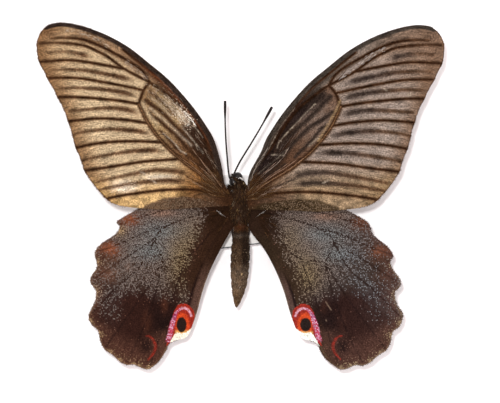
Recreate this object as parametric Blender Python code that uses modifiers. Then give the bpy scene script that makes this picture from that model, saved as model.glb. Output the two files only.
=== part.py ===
"""A spread swallowtail butterfly on its pin, as a still museum model at life size.

The butterfly is a tailless female seen with its wings open and its head turned to its own left.
X runs across the wings, Y forward to the head and Z up. The origin is under the middle of the
stand's base. Lengths in this file are millimetres, and each mesh is scaled to metres when made.
"""

import math

import bmesh
import bpy
from mathutils import Matrix, Vector
from mathutils.geometry import delaunay_2d_cdt

MM = 0.001
GAP = 0.32

# Stand: a low board under the body, a rod up to the thorax and a bare data card on the board
BASE_LENGTH = 52.0
BASE_WIDTH = 17.0
BASE_HEIGHT = 4.0
BASE_CORNER = 1.2
BASE_BEVEL = 0.4
ROD_RADIUS = 0.5
CARD_LENGTH = 23.0
CARD_WIDTH = 14.5
CARD_THICKNESS = 0.5
CARD_REAR_EDGE = -10.3
CARD_TURN = math.radians(7.3)

# Body forms: evenness of a sphere's rings when drawn out, and the step between stations
RING_DRIFT = 0.08
STATION_STEP = 0.25

# Thorax: half width, half height and centre at stations from front to back
THORAX_Z = 12.5
THORAX_HALF_HEIGHT = 3.3
THORAX = [
    # y, centre x, centre z, half width, half height
    (6.3, -0.6, 12.9, 1.65, 1.7),
    (4.9, -0.4, 12.8, 2.95, 2.6),
    (2.6, -0.2, THORAX_Z, 3.05, 3.2),
    (0.2, -0.1, THORAX_Z, 2.95, THORAX_HALF_HEIGHT),
    (-2.4, -0.1, THORAX_Z, 2.60, 3.1),
    (-5.3, 0.0, 12.6, 1.75, 2.2),
]

# Abdomen: a long spindle that bends a little to the left, with a groove behind each segment
ABDOMEN_SEGMENTS = 9
ABDOMEN_GROOVE = 0.05
ABDOMEN = [
    (-4.6, 0.1, 12.7, 1.60, 1.8),
    (-7.0, 0.1, 12.7, 2.05, 2.25),
    (-11.2, 0.0, 12.5, 2.40, 2.50),
    (-16.0, -0.2, 12.2, 2.35, 2.40),
    (-20.3, -0.4, 11.9, 1.95, 2.05),
    (-24.0, -0.8, 11.6, 1.15, 1.30),
    (-26.1, -1.1, 11.4, 0.45, 0.50),
]

# Head, turned to the butterfly's left
HEAD_CENTRE = Vector((-1.2, 7.2, 12.9))
HEAD_TURN = math.radians(52.0)
HEAD_HALF_WIDTH = 1.35
HEAD_HALF_LENGTH = 1.2
HEAD_HALF_HEIGHT = 1.6
EYE_RADIUS = 1.18
EYE_OFFSET = 0.85
EYE_LIFT = 0.1
EYE_PROPORTIONS = (0.9, 1.0, 1.1)
PALPUS_RADIUS = 0.36
PALPUS_OFFSET = 0.56
PALPUS_TIP = 0.7
PALPUS_PATH = [(0.35, -1.45), (0.95, -1.25), (1.4, -0.65), (1.5, 0.0)]
PROBOSCIS_RADIUS = 0.26
PROBOSCIS_COIL_RADIUS = 1.15
PROBOSCIS_TURNS = 1.6
PROBOSCIS_TIGHTENING = 0.53
PROBOSCIS_COIL_Z = 9.6
PROBOSCIS_STEM = (-0.7, 2.6)
PROBOSCIS_AHEAD = 0.15
PROBOSCIS_START = math.radians(150.0)
PROBOSCIS_STEPS = 22

# Antennae: a slim shaft and a longer club, from the head out to the tips
ANTENNA_RADIUS = 0.26
CLUB_RADIUS = 0.42
CLUB_START = 0.80
CLUB_ROUNDING = 2.2
ANTENNA_STEP = 1.3
ANTENNA_PATHS = {
    "antenna_left": [(-1.9, 6.9, 13.4), (-2.7, 7.4, 13.9), (-3.1, 9.0, 14.3), (-3.4, 12.2, 14.6),
                     (-3.8, 17.4, 15.0), (-4.0, 22.6, 15.4), (-4.0, 27.6, 15.6)],
    "antenna_right": [(-1.6, 7.4, 13.4), (-1.7, 8.4, 14.2), (-1.2, 9.7, 14.5), (0.1, 12.2, 14.8),
                      (3.0, 16.9, 15.2), (5.6, 21.3, 15.5), (8.2, 26.0, 15.7)],
}

# Legs, folded under the thorax; x grows outward and each point has a radius of its own
LEG_STEP = 0.9
LEG_PATHS = {
    "foreleg": [((0.9, 3.4, 10.6), 0.50), ((1.4, 3.8, 8.9), 0.46), ((1.8, 4.6, 8.2), 0.36),
                ((2.1, 2.8, 7.2), 0.30), ((2.1, 1.2, 6.8), 0.27), ((1.9, -0.8, 6.4), 0.25)],
    "midleg": [((1.5, 0.4, 10.6), 0.52), ((2.5, 0.6, 9.0), 0.48), ((3.9, 1.2, 8.2), 0.38),
               ((4.1, -1.2, 7.4), 0.31), ((3.9, -2.9, 6.9), 0.27), ((3.2, -4.8, 6.4), 0.25)],
    "hindleg": [((1.3, -2.6, 10.6), 0.52), ((1.9, -3.1, 9.1), 0.48), ((2.4, -4.6, 8.6), 0.38),
                ((1.9, -8.2, 7.7), 0.31), ((1.7, -10.2, 7.2), 0.27), ((1.3, -12.6, 6.8), 0.25)],
}

# Wings: membrane and vein thickness, and the levels of the two pairs
MEMBRANE = 0.55
RIDGE = 0.95
RIDGE_HALF_WIDTH = 0.55
VEIN_REACH = 0.25
COSTA_REACH = 0.4
FLANK_SPACING = 0.44
FILL_SPACING = 1.6
CLOSE_TO_VEIN = 0.95
WELD = 0.02
VEIN_STEP = 2.6
EDGE_STEP = 1.7
FILL_STEP = 5.5
WING_CENTRE_X = 0.08
WING_RISE = 0.03
FORE_LEVEL = 14.9
FORE_TIP_DROOP = 0.0006
HIND_LEVEL = 13.4
HIND_REAR_DROOP = 0.0008
INNER_FOLD_DEPTH = 1.1
INNER_FOLD_WIDTH = 2.2
INNER_MARGIN = (Vector((2.4, -5.9)), Vector((12.8, -31.6)))

# Wing outlines and veins, x outward from the body's midline and y forward
FORE_EDGE = [
    (1.0, 3.8), (3.4, 4.6), (4.2, 6.0), (5.0, 10.9), (6.9, 17.4), (9.3, 21.6), (12.8, 26.5),
    (18.4, 32.8), (23.6, 37.2), (28.8, 41.3), (34.0, 44.3), (39.2, 46.4), (44.4, 47.7),
    (47.8, 47.8), (50.6, 47.0), (52.5, 44.7), (53.1, 40.8), (52.2, 37.2), (49.6, 32.1),
    (46.9, 27.0), (44.8, 21.9), (43.6, 17.4), (41.8, 12.5), (40.4, 8.9), (37.6, 4.8), (34.2, 1.5),
    (30.6, 0.2), (26.8, -0.3), (20.3, -0.7), (14.2, -0.4), (9.3, -0.1), (3.8, 0.2), (1.0, 0.6),
]
FORE_COSTA = FORE_EDGE[2:13]
FORE_VEINS = {
    "subcosta": [(4.4, 5.2), (6.9, 14.3), (10.1, 20.6), (18.1, 30.6), (23.6, 35.4), (30.6, 40.9)],
    "radius": [(3.9, 4.2), (5.6, 10.4), (10.1, 18.6), (15.3, 25.8), (21.0, 30.6), (23.7, 32.4),
               (30.3, 35.9), (35.2, 39.4), (40.8, 41.9), (47.1, 42.6), (52.2, 42.5)],
    "radius_upper": [(23.7, 32.4), (25.6, 35.3), (28.8, 37.7), (33.7, 40.4), (36.6, 41.9),
                     (40.5, 43.3), (44.1, 43.9), (49.1, 43.8)],
    "radius_lower": [(30.3, 35.9), (38.0, 37.3), (44.3, 38.1), (52.0, 37.7)],
    "cell_end": [(23.7, 32.4), (25.3, 30.3), (26.5, 26.8)],
    "media_1": [(25.3, 30.3), (32.4, 31.8), (41.9, 33.4), (49.6, 33.5)],
    "media_2": [(26.5, 26.8), (32.4, 27.7), (41.9, 28.5), (47.0, 28.5)],
    "cubitus": [(3.8, 2.9), (9.7, 7.9), (15.8, 12.5), (20.3, 16.8), (24.0, 21.7), (26.5, 26.8)],
    "media_3": [(24.0, 21.7), (28.9, 22.5), (36.6, 23.0), (44.4, 22.3)],
    "cubitus_1": [(20.3, 16.8), (28.9, 17.1), (36.6, 16.6), (42.8, 15.4)],
    "cubitus_2": [(15.8, 12.5), (25.1, 11.8), (32.7, 10.6), (40.1, 9.5)],
    "anal": [(3.8, 1.6), (9.3, 4.1), (18.4, 4.5), (28.9, 3.3), (34.3, 2.3)],
}
HIND_EDGE = [
    (1.0, 0.5), (3.1, 1.0), (9.3, 2.4), (14.5, 3.0), (19.2, 2.7), (22.8, 1.6), (26.4, -0.2),
    (30.4, -2.6), (32.8, -4.2), (33.9, -5.7), (34.2, -7.2), (36.6, -9.8), (38.0, -12.0),
    (37.6, -14.1), (37.5, -15.8), (39.0, -18.2), (39.0, -20.0), (37.7, -21.8), (38.0, -24.6),
    (39.6, -28.2), (39.0, -30.4), (37.2, -32.2), (36.6, -35.0), (35.4, -37.2), (33.6, -38.4),
    (31.4, -40.4), (29.5, -41.2), (27.9, -41.1), (25.8, -42.0), (24.2, -42.3), (22.7, -41.5),
    (20.9, -39.7), (19.4, -37.2), (18.6, -35.6), (16.8, -34.7), (14.6, -34.2), (13.2, -32.4),
    (11.4, -27.3), (9.9, -21.8), (8.0, -16.6), (5.1, -10.7), (2.4, -5.9), (1.0, -3.8),
]
HIND_VEINS = {
    "cell_top": [(3.3, -0.4), (10.6, -1.9), (18.4, -4.6), (22.3, -8.2), (20.2, -13.7)],
    "cell_low": [(3.5, -2.1), (8.0, -6.8), (11.0, -10.4), (14.1, -12.8), (20.2, -13.7)],
    "subcosta": [(5.6, 0.4), (14.5, 0.6), (22.8, -1.6), (31.6, -4.4)],
    "radius": [(18.4, -4.6), (25.0, -6.6), (31.0, -9.4), (36.6, -11.4)],
    "media_1": [(22.3, -8.2), (28.9, -12.5), (33.5, -15.5), (37.8, -18.5)],
    "media_2": [(22.3, -8.2), (26.4, -15.6), (32.8, -21.4), (38.6, -27.6)],
    "media_3": [(20.2, -13.7), (25.0, -22.0), (30.4, -29.8), (35.2, -36.4)],
    "cubitus_1": [(20.2, -13.7), (22.4, -23.0), (26.0, -33.0), (29.6, -40.2)],
    "cubitus_2": [(14.1, -12.8), (17.2, -22.0), (20.6, -32.0), (23.6, -41.2)],
    "anal": [(3.4, -3.2), (8.4, -11.6), (12.0, -20.0), (14.6, -28.6), (16.6, -33.8)],
}
# The left hindwing has lost a bite of its margin just behind the corner of the leading edge
TORN_MARGIN = {(32.8, -4.2): (32.2, -3.8), (33.9, -5.7): (31.5, -5.3), (34.2, -7.2): (32.8, -7.2)}

# The right wings are set a little wider and turned against the left ones
SETTING = {
    "forewing_right": ((1.034, -0.036, -0.46), (0.017, 0.989, -0.87)),
    "hindwing_right": ((1.037, -0.003, 0.93), (-0.006, 0.979, -0.83)),
}
# The right forewing's root is drawn in towards the head, over these ranges of y and x
ROOT_PULL = 2.1
ROOT_PULL_Y = (7.0, 15.5)
ROOT_PULL_X = (6.0, 14.0)

CHITIN_BLACK = (0.022, 0.016, 0.013)
HAIR_BROWN = (0.045, 0.030, 0.020)
WING_TAN = (0.22, 0.15, 0.085)
WING_DARK = (0.035, 0.024, 0.024)
FOAM_WHITE = (0.86, 0.86, 0.85)
CARD_WHITE = (0.85, 0.84, 0.80)
STEEL = (0.55, 0.55, 0.56)

model = None
cutters = None


def clear_scene():
    for obj in list(bpy.data.objects):
        bpy.data.objects.remove(obj)


def add_collection(name):
    collection = bpy.data.collections.new(name)
    bpy.context.scene.collection.children.link(collection)
    return collection


def material(name, colour, roughness, metallic=0.0):
    """Principled material of one colour."""
    made = bpy.data.materials.new(name)
    made.use_nodes = True
    shader = made.node_tree.nodes["Principled BSDF"]
    shader.inputs["Base Color"].default_value = (*colour, 1.0)
    shader.inputs["Roughness"].default_value = roughness
    shader.inputs["Metallic"].default_value = metallic
    return made


def add_node(name, form, finish, smooth_angle=40.0):
    """Object from a bmesh in millimetres, which is freed."""
    bmesh.ops.scale(form, vec=(MM, MM, MM), verts=form.verts)
    mesh = bpy.data.meshes.new(name)
    form.to_mesh(mesh)
    form.free()
    mesh.materials.append(finish)
    mesh.shade_smooth()
    mesh.set_sharp_from_angle(angle=math.radians(smooth_angle))
    obj = bpy.data.objects.new(name, mesh)
    model.objects.link(obj)
    return obj


def keep_largest(form):
    """Delete every closed surface of a bmesh but the one with the most faces."""
    form.faces.ensure_lookup_table()
    unseen = set(form.faces)
    islands = []
    while unseen:
        stack = [unseen.pop()]
        island = set(stack)
        while stack:
            face = stack.pop()
            for edge in face.edges:
                for other in edge.link_faces:
                    if other in unseen:
                        unseen.discard(other)
                        island.add(other)
                        stack.append(other)
        islands.append(island)
    islands.sort(key=len)
    for island in islands[:-1]:
        bmesh.ops.delete(form, geom=list(island), context="FACES")
    loose = [vert for vert in form.verts if not vert.link_faces]
    bmesh.ops.delete(form, geom=loose, context="VERTS")


def apply_modifiers(obj):
    """Replace the mesh by the evaluated one, with only its largest closed surface."""
    graph = bpy.context.evaluated_depsgraph_get()
    mesh = bpy.data.meshes.new_from_object(obj.evaluated_get(graph))
    form = bmesh.new()
    form.from_mesh(mesh)
    keep_largest(form)
    bmesh.ops.triangulate(form, faces=form.faces)
    form.to_mesh(mesh)
    form.free()
    obj.modifiers.clear()
    obj.data = mesh


def inflated(obj):
    """Cutter that stands off the object by the gap on every side."""
    form = bmesh.new()
    form.from_mesh(obj.data)
    form.normal_update()
    for vert in form.verts:
        vert.co += vert.normal * GAP * MM
    mesh = bpy.data.meshes.new(obj.name + "_clearance")
    form.to_mesh(mesh)
    form.free()
    cutter = bpy.data.objects.new(mesh.name, mesh)
    cutter.hide_render = True
    cutter.display_type = "WIRE"
    cutters.objects.link(cutter)
    return cutter


def cut_clear(obj, *neighbours):
    """Cut an object back from its neighbours, so that they meet face to face."""
    for neighbour in neighbours:
        cutter = inflated(neighbour)
        cut = obj.modifiers.new("clearance", "BOOLEAN")
        cut.operation = "DIFFERENCE"
        cut.object = cutter
        apply_modifiers(obj)
        bpy.data.objects.remove(cutter)


def smooth_line(points, step):
    """Catmull-Rom curve through the points, read about every step."""
    points = [Vector(point) for point in points]
    line = []
    for index in range(len(points) - 1):
        before = points[max(index - 1, 0)]
        start = points[index]
        end = points[index + 1]
        after = points[min(index + 2, len(points) - 1)]
        count = max(1, round((end - start).length / step))
        for part in range(count):
            t = part / count
            bend = 2 * before - 5 * start + 4 * end - after
            twist = 3 * start - before - 3 * end + after
            line.append(0.5 * (2 * start + (end - before) * t + bend * t ** 2 + twist * t ** 3))
    line.append(points[-1])
    return line


def station_at(stations, t):
    """Smoothly interpolated station, t from 0 at the first to 1 at the last."""
    line = smooth_line([Vector(station) for station in stations], STATION_STEP)
    span = stations[-1][0] - stations[0][0]
    y = stations[0][0] + span * t
    for a, b in zip(line, line[1:]):
        if (a[0] - y) * (b[0] - y) <= 0.0:
            return a.lerp(b, (y - a[0]) / (b[0] - a[0]))
    return line[-1]


def spindle(stations, sides, rings, squareness=4.0, groove=None):
    """Body form along Y, from a sphere whose rings take the stations' sections."""
    form = bmesh.new()
    bmesh.ops.create_uvsphere(form, u_segments=sides, v_segments=rings, radius=1.0)
    for vert in form.verts:
        ring = math.acos(max(-1.0, min(1.0, vert.co.z))) / math.pi
        angle = math.atan2(vert.co.y, vert.co.x)
        t = ring - RING_DRIFT * math.sin(2.0 * math.pi * ring)
        y, centre_x, centre_z, half_width, half_height = station_at(stations, t)
        rounding = (1.0 - abs(2.0 * t - 1.0) ** squareness) ** (1.0 / squareness)
        if groove is not None:
            rounding *= groove(t)
        at_pole = ring < 1e-4 or ring > 1.0 - 1e-4
        reach = 0.0 if at_pole else rounding
        vert.co = (centre_x + half_width * reach * math.cos(angle), y,
                   centre_z + half_height * reach * math.sin(angle))
    form.normal_update()
    bmesh.ops.recalc_face_normals(form, faces=form.faces)
    return form


def ellipsoid(centre, half_sizes, turn, sides=18, rings=12):
    """Ellipsoid with its own X, Y and Z half sizes, turned about Z."""
    form = bmesh.new()
    place = Matrix.Translation(centre) @ Matrix.Rotation(turn, 4, "Z")
    size = Matrix.Diagonal((*half_sizes, 1.0))
    bmesh.ops.create_uvsphere(form, u_segments=sides, v_segments=rings, radius=1.0,
                              matrix=place @ size)
    return form


def tube(name, path, radii, finish, resolution=2):
    """Solid tube along a path with a radius at each point, as a mesh with welded caps."""
    curve = bpy.data.curves.new(name + "_path", "CURVE")
    curve.dimensions = "3D"
    curve.bevel_depth = MM
    curve.bevel_resolution = resolution
    curve.use_fill_caps = True
    spline = curve.splines.new("POLY")
    spline.points.add(len(path) - 1)
    for point, place, radius in zip(spline.points, path, radii):
        point.co = (*(Vector(place) * MM), 1.0)
        point.radius = radius
    guide = bpy.data.objects.new(name + "_path", curve)
    model.objects.link(guide)
    graph = bpy.context.evaluated_depsgraph_get()
    mesh = bpy.data.meshes.new_from_object(guide.evaluated_get(graph))
    bpy.data.objects.remove(guide)
    form = bmesh.new()
    form.from_mesh(mesh)
    bmesh.ops.remove_doubles(form, verts=form.verts, dist=0.01 * MM)
    bmesh.ops.recalc_face_normals(form, faces=form.faces)
    bmesh.ops.scale(form, vec=(1 / MM, 1 / MM, 1 / MM), verts=form.verts)
    return add_node(name, form, finish)


def make_stand(foam, steel, card):
    """Base board, rod up to the thorax, and a data card that the rod passes through."""
    form = bmesh.new()
    bmesh.ops.create_cube(form, size=1.0)
    bmesh.ops.scale(form, vec=(BASE_LENGTH, BASE_WIDTH, BASE_HEIGHT), verts=form.verts)
    bmesh.ops.translate(form, vec=(0.0, 0.0, BASE_HEIGHT / 2), verts=form.verts)
    upright = [edge for edge in form.edges if abs(edge.verts[0].co.z - edge.verts[1].co.z) > 1.0]
    bmesh.ops.bevel(form, geom=upright, offset=BASE_CORNER, segments=4, affect="EDGES", profile=0.5)
    rim = [edge for edge in form.edges
           if all(vert.co.z > BASE_HEIGHT - 0.01 for vert in edge.verts)]
    bmesh.ops.bevel(form, geom=rim, offset=BASE_BEVEL, segments=2, affect="EDGES", profile=0.5)
    add_node("stand_base", form, foam)

    rod_bottom = BASE_HEIGHT + GAP
    rod_top = THORAX_Z - THORAX_HALF_HEIGHT - GAP
    form = bmesh.new()
    bmesh.ops.create_cone(form, cap_ends=True, segments=20, radius1=ROD_RADIUS, radius2=ROD_RADIUS,
                          depth=rod_top - rod_bottom,
                          matrix=Matrix.Translation((0.0, 0.0, (rod_top + rod_bottom) / 2)))
    rod = add_node("stand_rod", form, steel)

    form = bmesh.new()
    bmesh.ops.create_cube(form, size=1.0)
    bmesh.ops.scale(form, vec=(CARD_LENGTH, CARD_WIDTH, CARD_THICKNESS), verts=form.verts)
    card_y = CARD_REAR_EDGE + CARD_WIDTH / 2
    bmesh.ops.translate(form, vec=(0.0, card_y, rod_bottom + CARD_THICKNESS / 2), verts=form.verts)
    bmesh.ops.rotate(form, matrix=Matrix.Rotation(CARD_TURN, 3, "Z"), verts=form.verts)
    sheet = add_node("data_card", form, card)
    cut_clear(sheet, rod)


def make_body(hair):
    """Thorax, then the abdomen and the head cut to meet it."""
    thorax = add_node("thorax", spindle(THORAX, 24, 18), hair)

    def ringed(t):
        return 1.0 - ABDOMEN_GROOVE * abs(math.cos(math.pi * ABDOMEN_SEGMENTS * t)) ** 6

    abdomen = add_node("abdomen", spindle(ABDOMEN, 20, 38, 5.0, ringed), hair)
    cut_clear(abdomen, thorax)
    half_sizes = (HEAD_HALF_WIDTH, HEAD_HALF_LENGTH, HEAD_HALF_HEIGHT)
    head = add_node("head", ellipsoid(HEAD_CENTRE, half_sizes, HEAD_TURN), hair)
    cut_clear(head, thorax)
    return thorax, abdomen, head


def head_point(across, ahead, up):
    """Place in the model of a point given from the head's centre, in the head's own axes."""
    turned = Matrix.Rotation(HEAD_TURN, 3, "Z") @ Vector((across, ahead, up))
    return HEAD_CENTRE + turned


def make_head_parts(head, thorax, chitin, hair):
    """Eyes, palpi, coiled proboscis and antennae, each cut to meet the head."""
    eyes = []
    palpi = []
    for side, sign in (("left", -1.0), ("right", 1.0)):
        centre = head_point(sign * EYE_OFFSET, 0.0, EYE_LIFT)
        eye_sizes = [EYE_RADIUS * part for part in EYE_PROPORTIONS]
        eye = add_node("eye_" + side, ellipsoid(centre, eye_sizes, HEAD_TURN, 16, 10), chitin)
        cut_clear(eye, head, thorax)
        eyes.append(eye)
    for side, sign in (("left", -1.0), ("right", 1.0)):
        path = [head_point(sign * PALPUS_OFFSET, ahead, up) for ahead, up in PALPUS_PATH]
        radii = [PALPUS_RADIUS, PALPUS_RADIUS, PALPUS_RADIUS, PALPUS_TIP * PALPUS_RADIUS]
        palpus = tube("palpus_" + side, path, radii, hair)
        cut_clear(palpus, head, *eyes)
        palpi.append(palpus)

    coil_centre = head_point(0.0, PROBOSCIS_AHEAD, 0.0)
    coil_centre.z = PROBOSCIS_COIL_Z
    ahead = Matrix.Rotation(HEAD_TURN, 3, "Z") @ Vector((0.0, 1.0, 0.0))
    path = [coil_centre + ahead * PROBOSCIS_STEM[0] + Vector((0.0, 0.0, PROBOSCIS_STEM[1]))]
    for step in range(PROBOSCIS_STEPS + 1):
        turn = step / PROBOSCIS_STEPS * PROBOSCIS_TURNS
        radius = PROBOSCIS_COIL_RADIUS - PROBOSCIS_TIGHTENING * turn
        angle = PROBOSCIS_START + turn * 2.0 * math.pi
        path.append(coil_centre + ahead * radius * math.cos(angle)
                    + Vector((0.0, 0.0, radius * math.sin(angle))))
    proboscis = tube("proboscis", path, [PROBOSCIS_RADIUS] * len(path), chitin)
    cut_clear(proboscis, head, thorax, *palpi)

    for name, points in ANTENNA_PATHS.items():
        path = smooth_line(points, ANTENNA_STEP)
        radii = []
        for index in range(len(path)):
            along = index / (len(path) - 1)
            swell = max(0.0, (along - CLUB_START) / (1.0 - CLUB_START))
            thickening = (CLUB_RADIUS - ANTENNA_RADIUS) * math.sin(CLUB_ROUNDING * swell)
            radii.append(ANTENNA_RADIUS + thickening)
        antenna = tube(name, path, radii, chitin)
        cut_clear(antenna, head, *eyes, *palpi)


def make_legs(thorax, chitin):
    """Three pairs of folded legs, cut to meet the underside of the thorax."""
    for pair, stations in LEG_PATHS.items():
        for side, sign in (("left", -1.0), ("right", 1.0)):
            mirrored = [((sign * place[0], place[1], place[2], radius))
                        for place, radius in stations]
            line = smooth_line(mirrored, LEG_STEP)
            path = [station[:3] for station in line]
            radii = [station[3] for station in line]
            leg = tube(pair + "_" + side, path, radii, chitin, 1)
            cut_clear(leg, thorax)


def distance_to_line(point, line):
    """Shortest distance from a 2D point to a line of points."""
    best = 1e9
    for a, b in zip(line, line[1:]):
        run = b - a
        t = max(0.0, min(1.0, (point - a).dot(run) / max(run.length_squared, 1e-9)))
        best = min(best, (point - a - run * t).length)
    return best


def inside(point, loop):
    """True where a 2D point lies inside a closed loop."""
    odd = False
    for a, b in zip(loop, loop[1:] + loop[:1]):
        if (a.y > point.y) != (b.y > point.y):
            if point.x < a.x + (point.y - a.y) / (b.y - a.y) * (b.x - a.x):
                odd = not odd
    return odd


def vein_lines(veins, loop):
    """Each vein as a smooth line, stopped short of the margin."""
    lines = []
    rim = loop + loop[:1]
    for points in veins.values():
        line = smooth_line(points, VEIN_STEP)
        kept = [point for point in line
                if inside(point, loop) and distance_to_line(point, rim) > RIDGE_HALF_WIDTH]
        lines.append(kept)
    return lines


def wing_net(loop, lines):
    """Triangle net over the wing, with points on each vein and along both its flanks."""
    points = list(loop)
    edges = []
    for line in lines:
        first = len(points)
        points += line
        edges += [(first + k, first + k + 1) for k in range(len(line) - 1)]
    rim = loop + loop[:1]
    extras = []
    for line in lines:
        for before, point, after in zip(line, line[1:], line[2:]):
            across = (after - before).orthogonal().normalized() * RIDGE_HALF_WIDTH
            extras += [point + across, point - across]
    xs = [point.x for point in loop]
    ys = [point.y for point in loop]
    fill = []
    rows = int((max(ys) - min(ys)) / FILL_STEP) + 1
    columns = int((max(xs) - min(xs)) / FILL_STEP) + 1
    for row in range(rows):
        for column in range(columns):
            shift = 0.5 * FILL_STEP * (row % 2)
            fill.append(Vector((min(xs) + column * FILL_STEP + shift, min(ys) + row * FILL_STEP)))
    for candidates, spacing in ((extras, FLANK_SPACING), (fill, FILL_SPACING)):
        for point in candidates:
            if not inside(point, loop) or distance_to_line(point, rim) < spacing:
                continue
            if min((point - other).length for other in points) < spacing:
                continue
            if min(distance_to_line(point, line) for line in lines) < CLOSE_TO_VEIN * spacing:
                continue
            points.append(point)
    rim_face = list(range(len(loop)))
    net = delaunay_2d_cdt(points, edges, [rim_face], 1, WELD)
    return net[0], net[2]


def fore_height(x, y):
    """Level of the forewing's middle surface."""
    return FORE_LEVEL + WING_RISE * x - FORE_TIP_DROOP * max(0.0, x - 25.0) ** 2


def hind_height(x, y):
    """Level of the hindwing's middle surface, which folds down along the inner margin."""
    start, end = INNER_MARGIN
    run = (end - start).normalized()
    away = abs((Vector((x, y)) - start).cross(run))
    fold = INNER_FOLD_DEPTH * math.exp(-(away / INNER_FOLD_WIDTH) ** 2)
    fold *= min(1.0, max(0.0, (-y - 5.0) / 6.0))
    droop = HIND_REAR_DROOP * max(0.0, -y - 5.0) ** 2
    return HIND_LEVEL + WING_RISE * x - droop - fold


def fade(value, limits):
    """Smooth fall from 1 at the first limit to 0 at the second."""
    t = min(1.0, max(0.0, (value - limits[0]) / (limits[1] - limits[0])))
    return 1.0 - t * t * (3.0 - 2.0 * t)


def make_wing(name, edge, veins, costa, height, finish, neighbours):
    """A membrane with its veins raised on both faces, cut to meet the body."""
    loop = smooth_line(edge, EDGE_STEP)
    lines = vein_lines(veins, loop)
    points, faces = wing_net(loop, lines)
    along_costa = smooth_line(costa, EDGE_STEP) if costa else None
    across, forward = SETTING.get(name, ((-1.0, 0.0, 0.0), (0.0, 1.0, 0.0)))
    form = bmesh.new()
    verts = []
    for point in points:
        x = across[0] * point.x + across[1] * point.y + across[2] + WING_CENTRE_X
        y = forward[0] * point.x + forward[1] * point.y + forward[2]
        if name == "forewing_right":
            x -= ROOT_PULL * fade(point.y, ROOT_PULL_Y) * fade(point.x, ROOT_PULL_X)
        verts.append(form.verts.new((x, y, height(point.x, point.y))))
    for face in faces:
        form.faces.new([verts[index] for index in face])
    bmesh.ops.recalc_face_normals(form, faces=form.faces)
    wing = add_node(name, form, finish)
    ridge = wing.vertex_groups.new(name="ridge")
    for index, point in enumerate(points):
        near = min(distance_to_line(point, line) for line in lines)
        if along_costa is not None:
            near = min(near, COSTA_REACH * distance_to_line(point, along_costa))
        if near < VEIN_REACH * RIDGE_HALF_WIDTH:
            ridge.add([index], 1.0, "REPLACE")
    shell = wing.modifiers.new("thickness", "SOLIDIFY")
    shell.thickness = RIDGE * MM
    shell.offset = 0.0
    shell.vertex_group = "ridge"
    shell.thickness_vertex_group = MEMBRANE / RIDGE
    apply_modifiers(wing)
    cut_clear(wing, *neighbours)


def main():
    global model, cutters
    clear_scene()
    model = add_collection("swallowtail_butterfly")
    cutters = add_collection("cutters")
    hair = material("body_hair", HAIR_BROWN, 0.8)
    chitin = material("chitin", CHITIN_BLACK, 0.3)
    fore_finish = material("forewing_scales", WING_TAN, 0.65)
    hind_finish = material("hindwing_scales", WING_DARK, 0.65)
    foam = material("white_foam", FOAM_WHITE, 0.9)
    card = material("card", CARD_WHITE, 0.85)
    steel = material("pin_steel", STEEL, 0.35, 1.0)

    make_stand(foam, steel, card)
    thorax, abdomen, head = make_body(hair)
    make_head_parts(head, thorax, chitin, hair)
    make_legs(thorax, chitin)
    for side in ("left", "right"):
        make_wing("forewing_" + side, FORE_EDGE, FORE_VEINS, FORE_COSTA, fore_height,
                  fore_finish, [thorax])
        edge = HIND_EDGE
        if side == "left":
            edge = [TORN_MARGIN.get(point, point) for point in HIND_EDGE]
        make_wing("hindwing_" + side, edge, HIND_VEINS, None, hind_height,
                  hind_finish, [thorax, abdomen])


main()
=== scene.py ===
"""Looks of the spread swallowtail butterfly: scaled wings, hairy body, eyes, feelers and stand.

Every mesh is worked out in millimetres and scaled to metres when it is made. Wing outlines,
veins and markings are given for one wing, x outward from the body's midline and y forward.
"""

import math

import bmesh
import bpy
import numpy as np
from mathutils import Matrix, Vector
from mathutils.geometry import delaunay_2d_cdt


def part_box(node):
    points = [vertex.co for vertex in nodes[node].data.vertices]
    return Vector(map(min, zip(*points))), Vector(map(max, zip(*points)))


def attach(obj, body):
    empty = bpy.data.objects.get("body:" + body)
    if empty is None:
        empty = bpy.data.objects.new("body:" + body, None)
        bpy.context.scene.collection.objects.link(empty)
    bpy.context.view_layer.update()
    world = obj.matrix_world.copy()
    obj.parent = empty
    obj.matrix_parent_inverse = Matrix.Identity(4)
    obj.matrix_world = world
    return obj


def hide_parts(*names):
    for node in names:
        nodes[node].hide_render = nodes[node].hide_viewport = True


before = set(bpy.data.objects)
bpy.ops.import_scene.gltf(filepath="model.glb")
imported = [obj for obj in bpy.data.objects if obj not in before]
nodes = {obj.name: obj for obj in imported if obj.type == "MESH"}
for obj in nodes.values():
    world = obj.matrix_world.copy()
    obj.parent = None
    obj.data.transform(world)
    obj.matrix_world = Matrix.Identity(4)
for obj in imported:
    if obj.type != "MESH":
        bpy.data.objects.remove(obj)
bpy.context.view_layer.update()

MM = 0.001
SEED = 7

# Levels and settings of the wings, as in the solids
WING_CENTRE_X = 0.08
WING_RISE = 0.03
FORE_LEVEL = 14.9
FORE_TIP_DROOP = 0.0006
HIND_LEVEL = 13.4
HIND_REAR_DROOP = 0.0008
INNER_FOLD_DEPTH = 1.1
INNER_FOLD_WIDTH = 2.2
INNER_MARGIN = np.array([(2.4, -5.9), (12.8, -31.6)])
LEFT_SETTING = ((-1.0, 0.0, 0.0), (0.0, 1.0, 0.0))
SETTING = {
    "forewing_left": LEFT_SETTING,
    "hindwing_left": LEFT_SETTING,
    "forewing_right": ((1.034, -0.036, -0.46), (0.017, 0.989, -0.87)),
    "hindwing_right": ((1.037, -0.003, 0.93), (-0.006, 0.979, -0.83)),
}
# The right forewing's root is drawn in towards the head, over these ranges of y and x
ROOT_PULL = 2.1
ROOT_PULL_Y = (7.8, 16.8)
ROOT_PULL_X = (6.0, 14.0)

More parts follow.
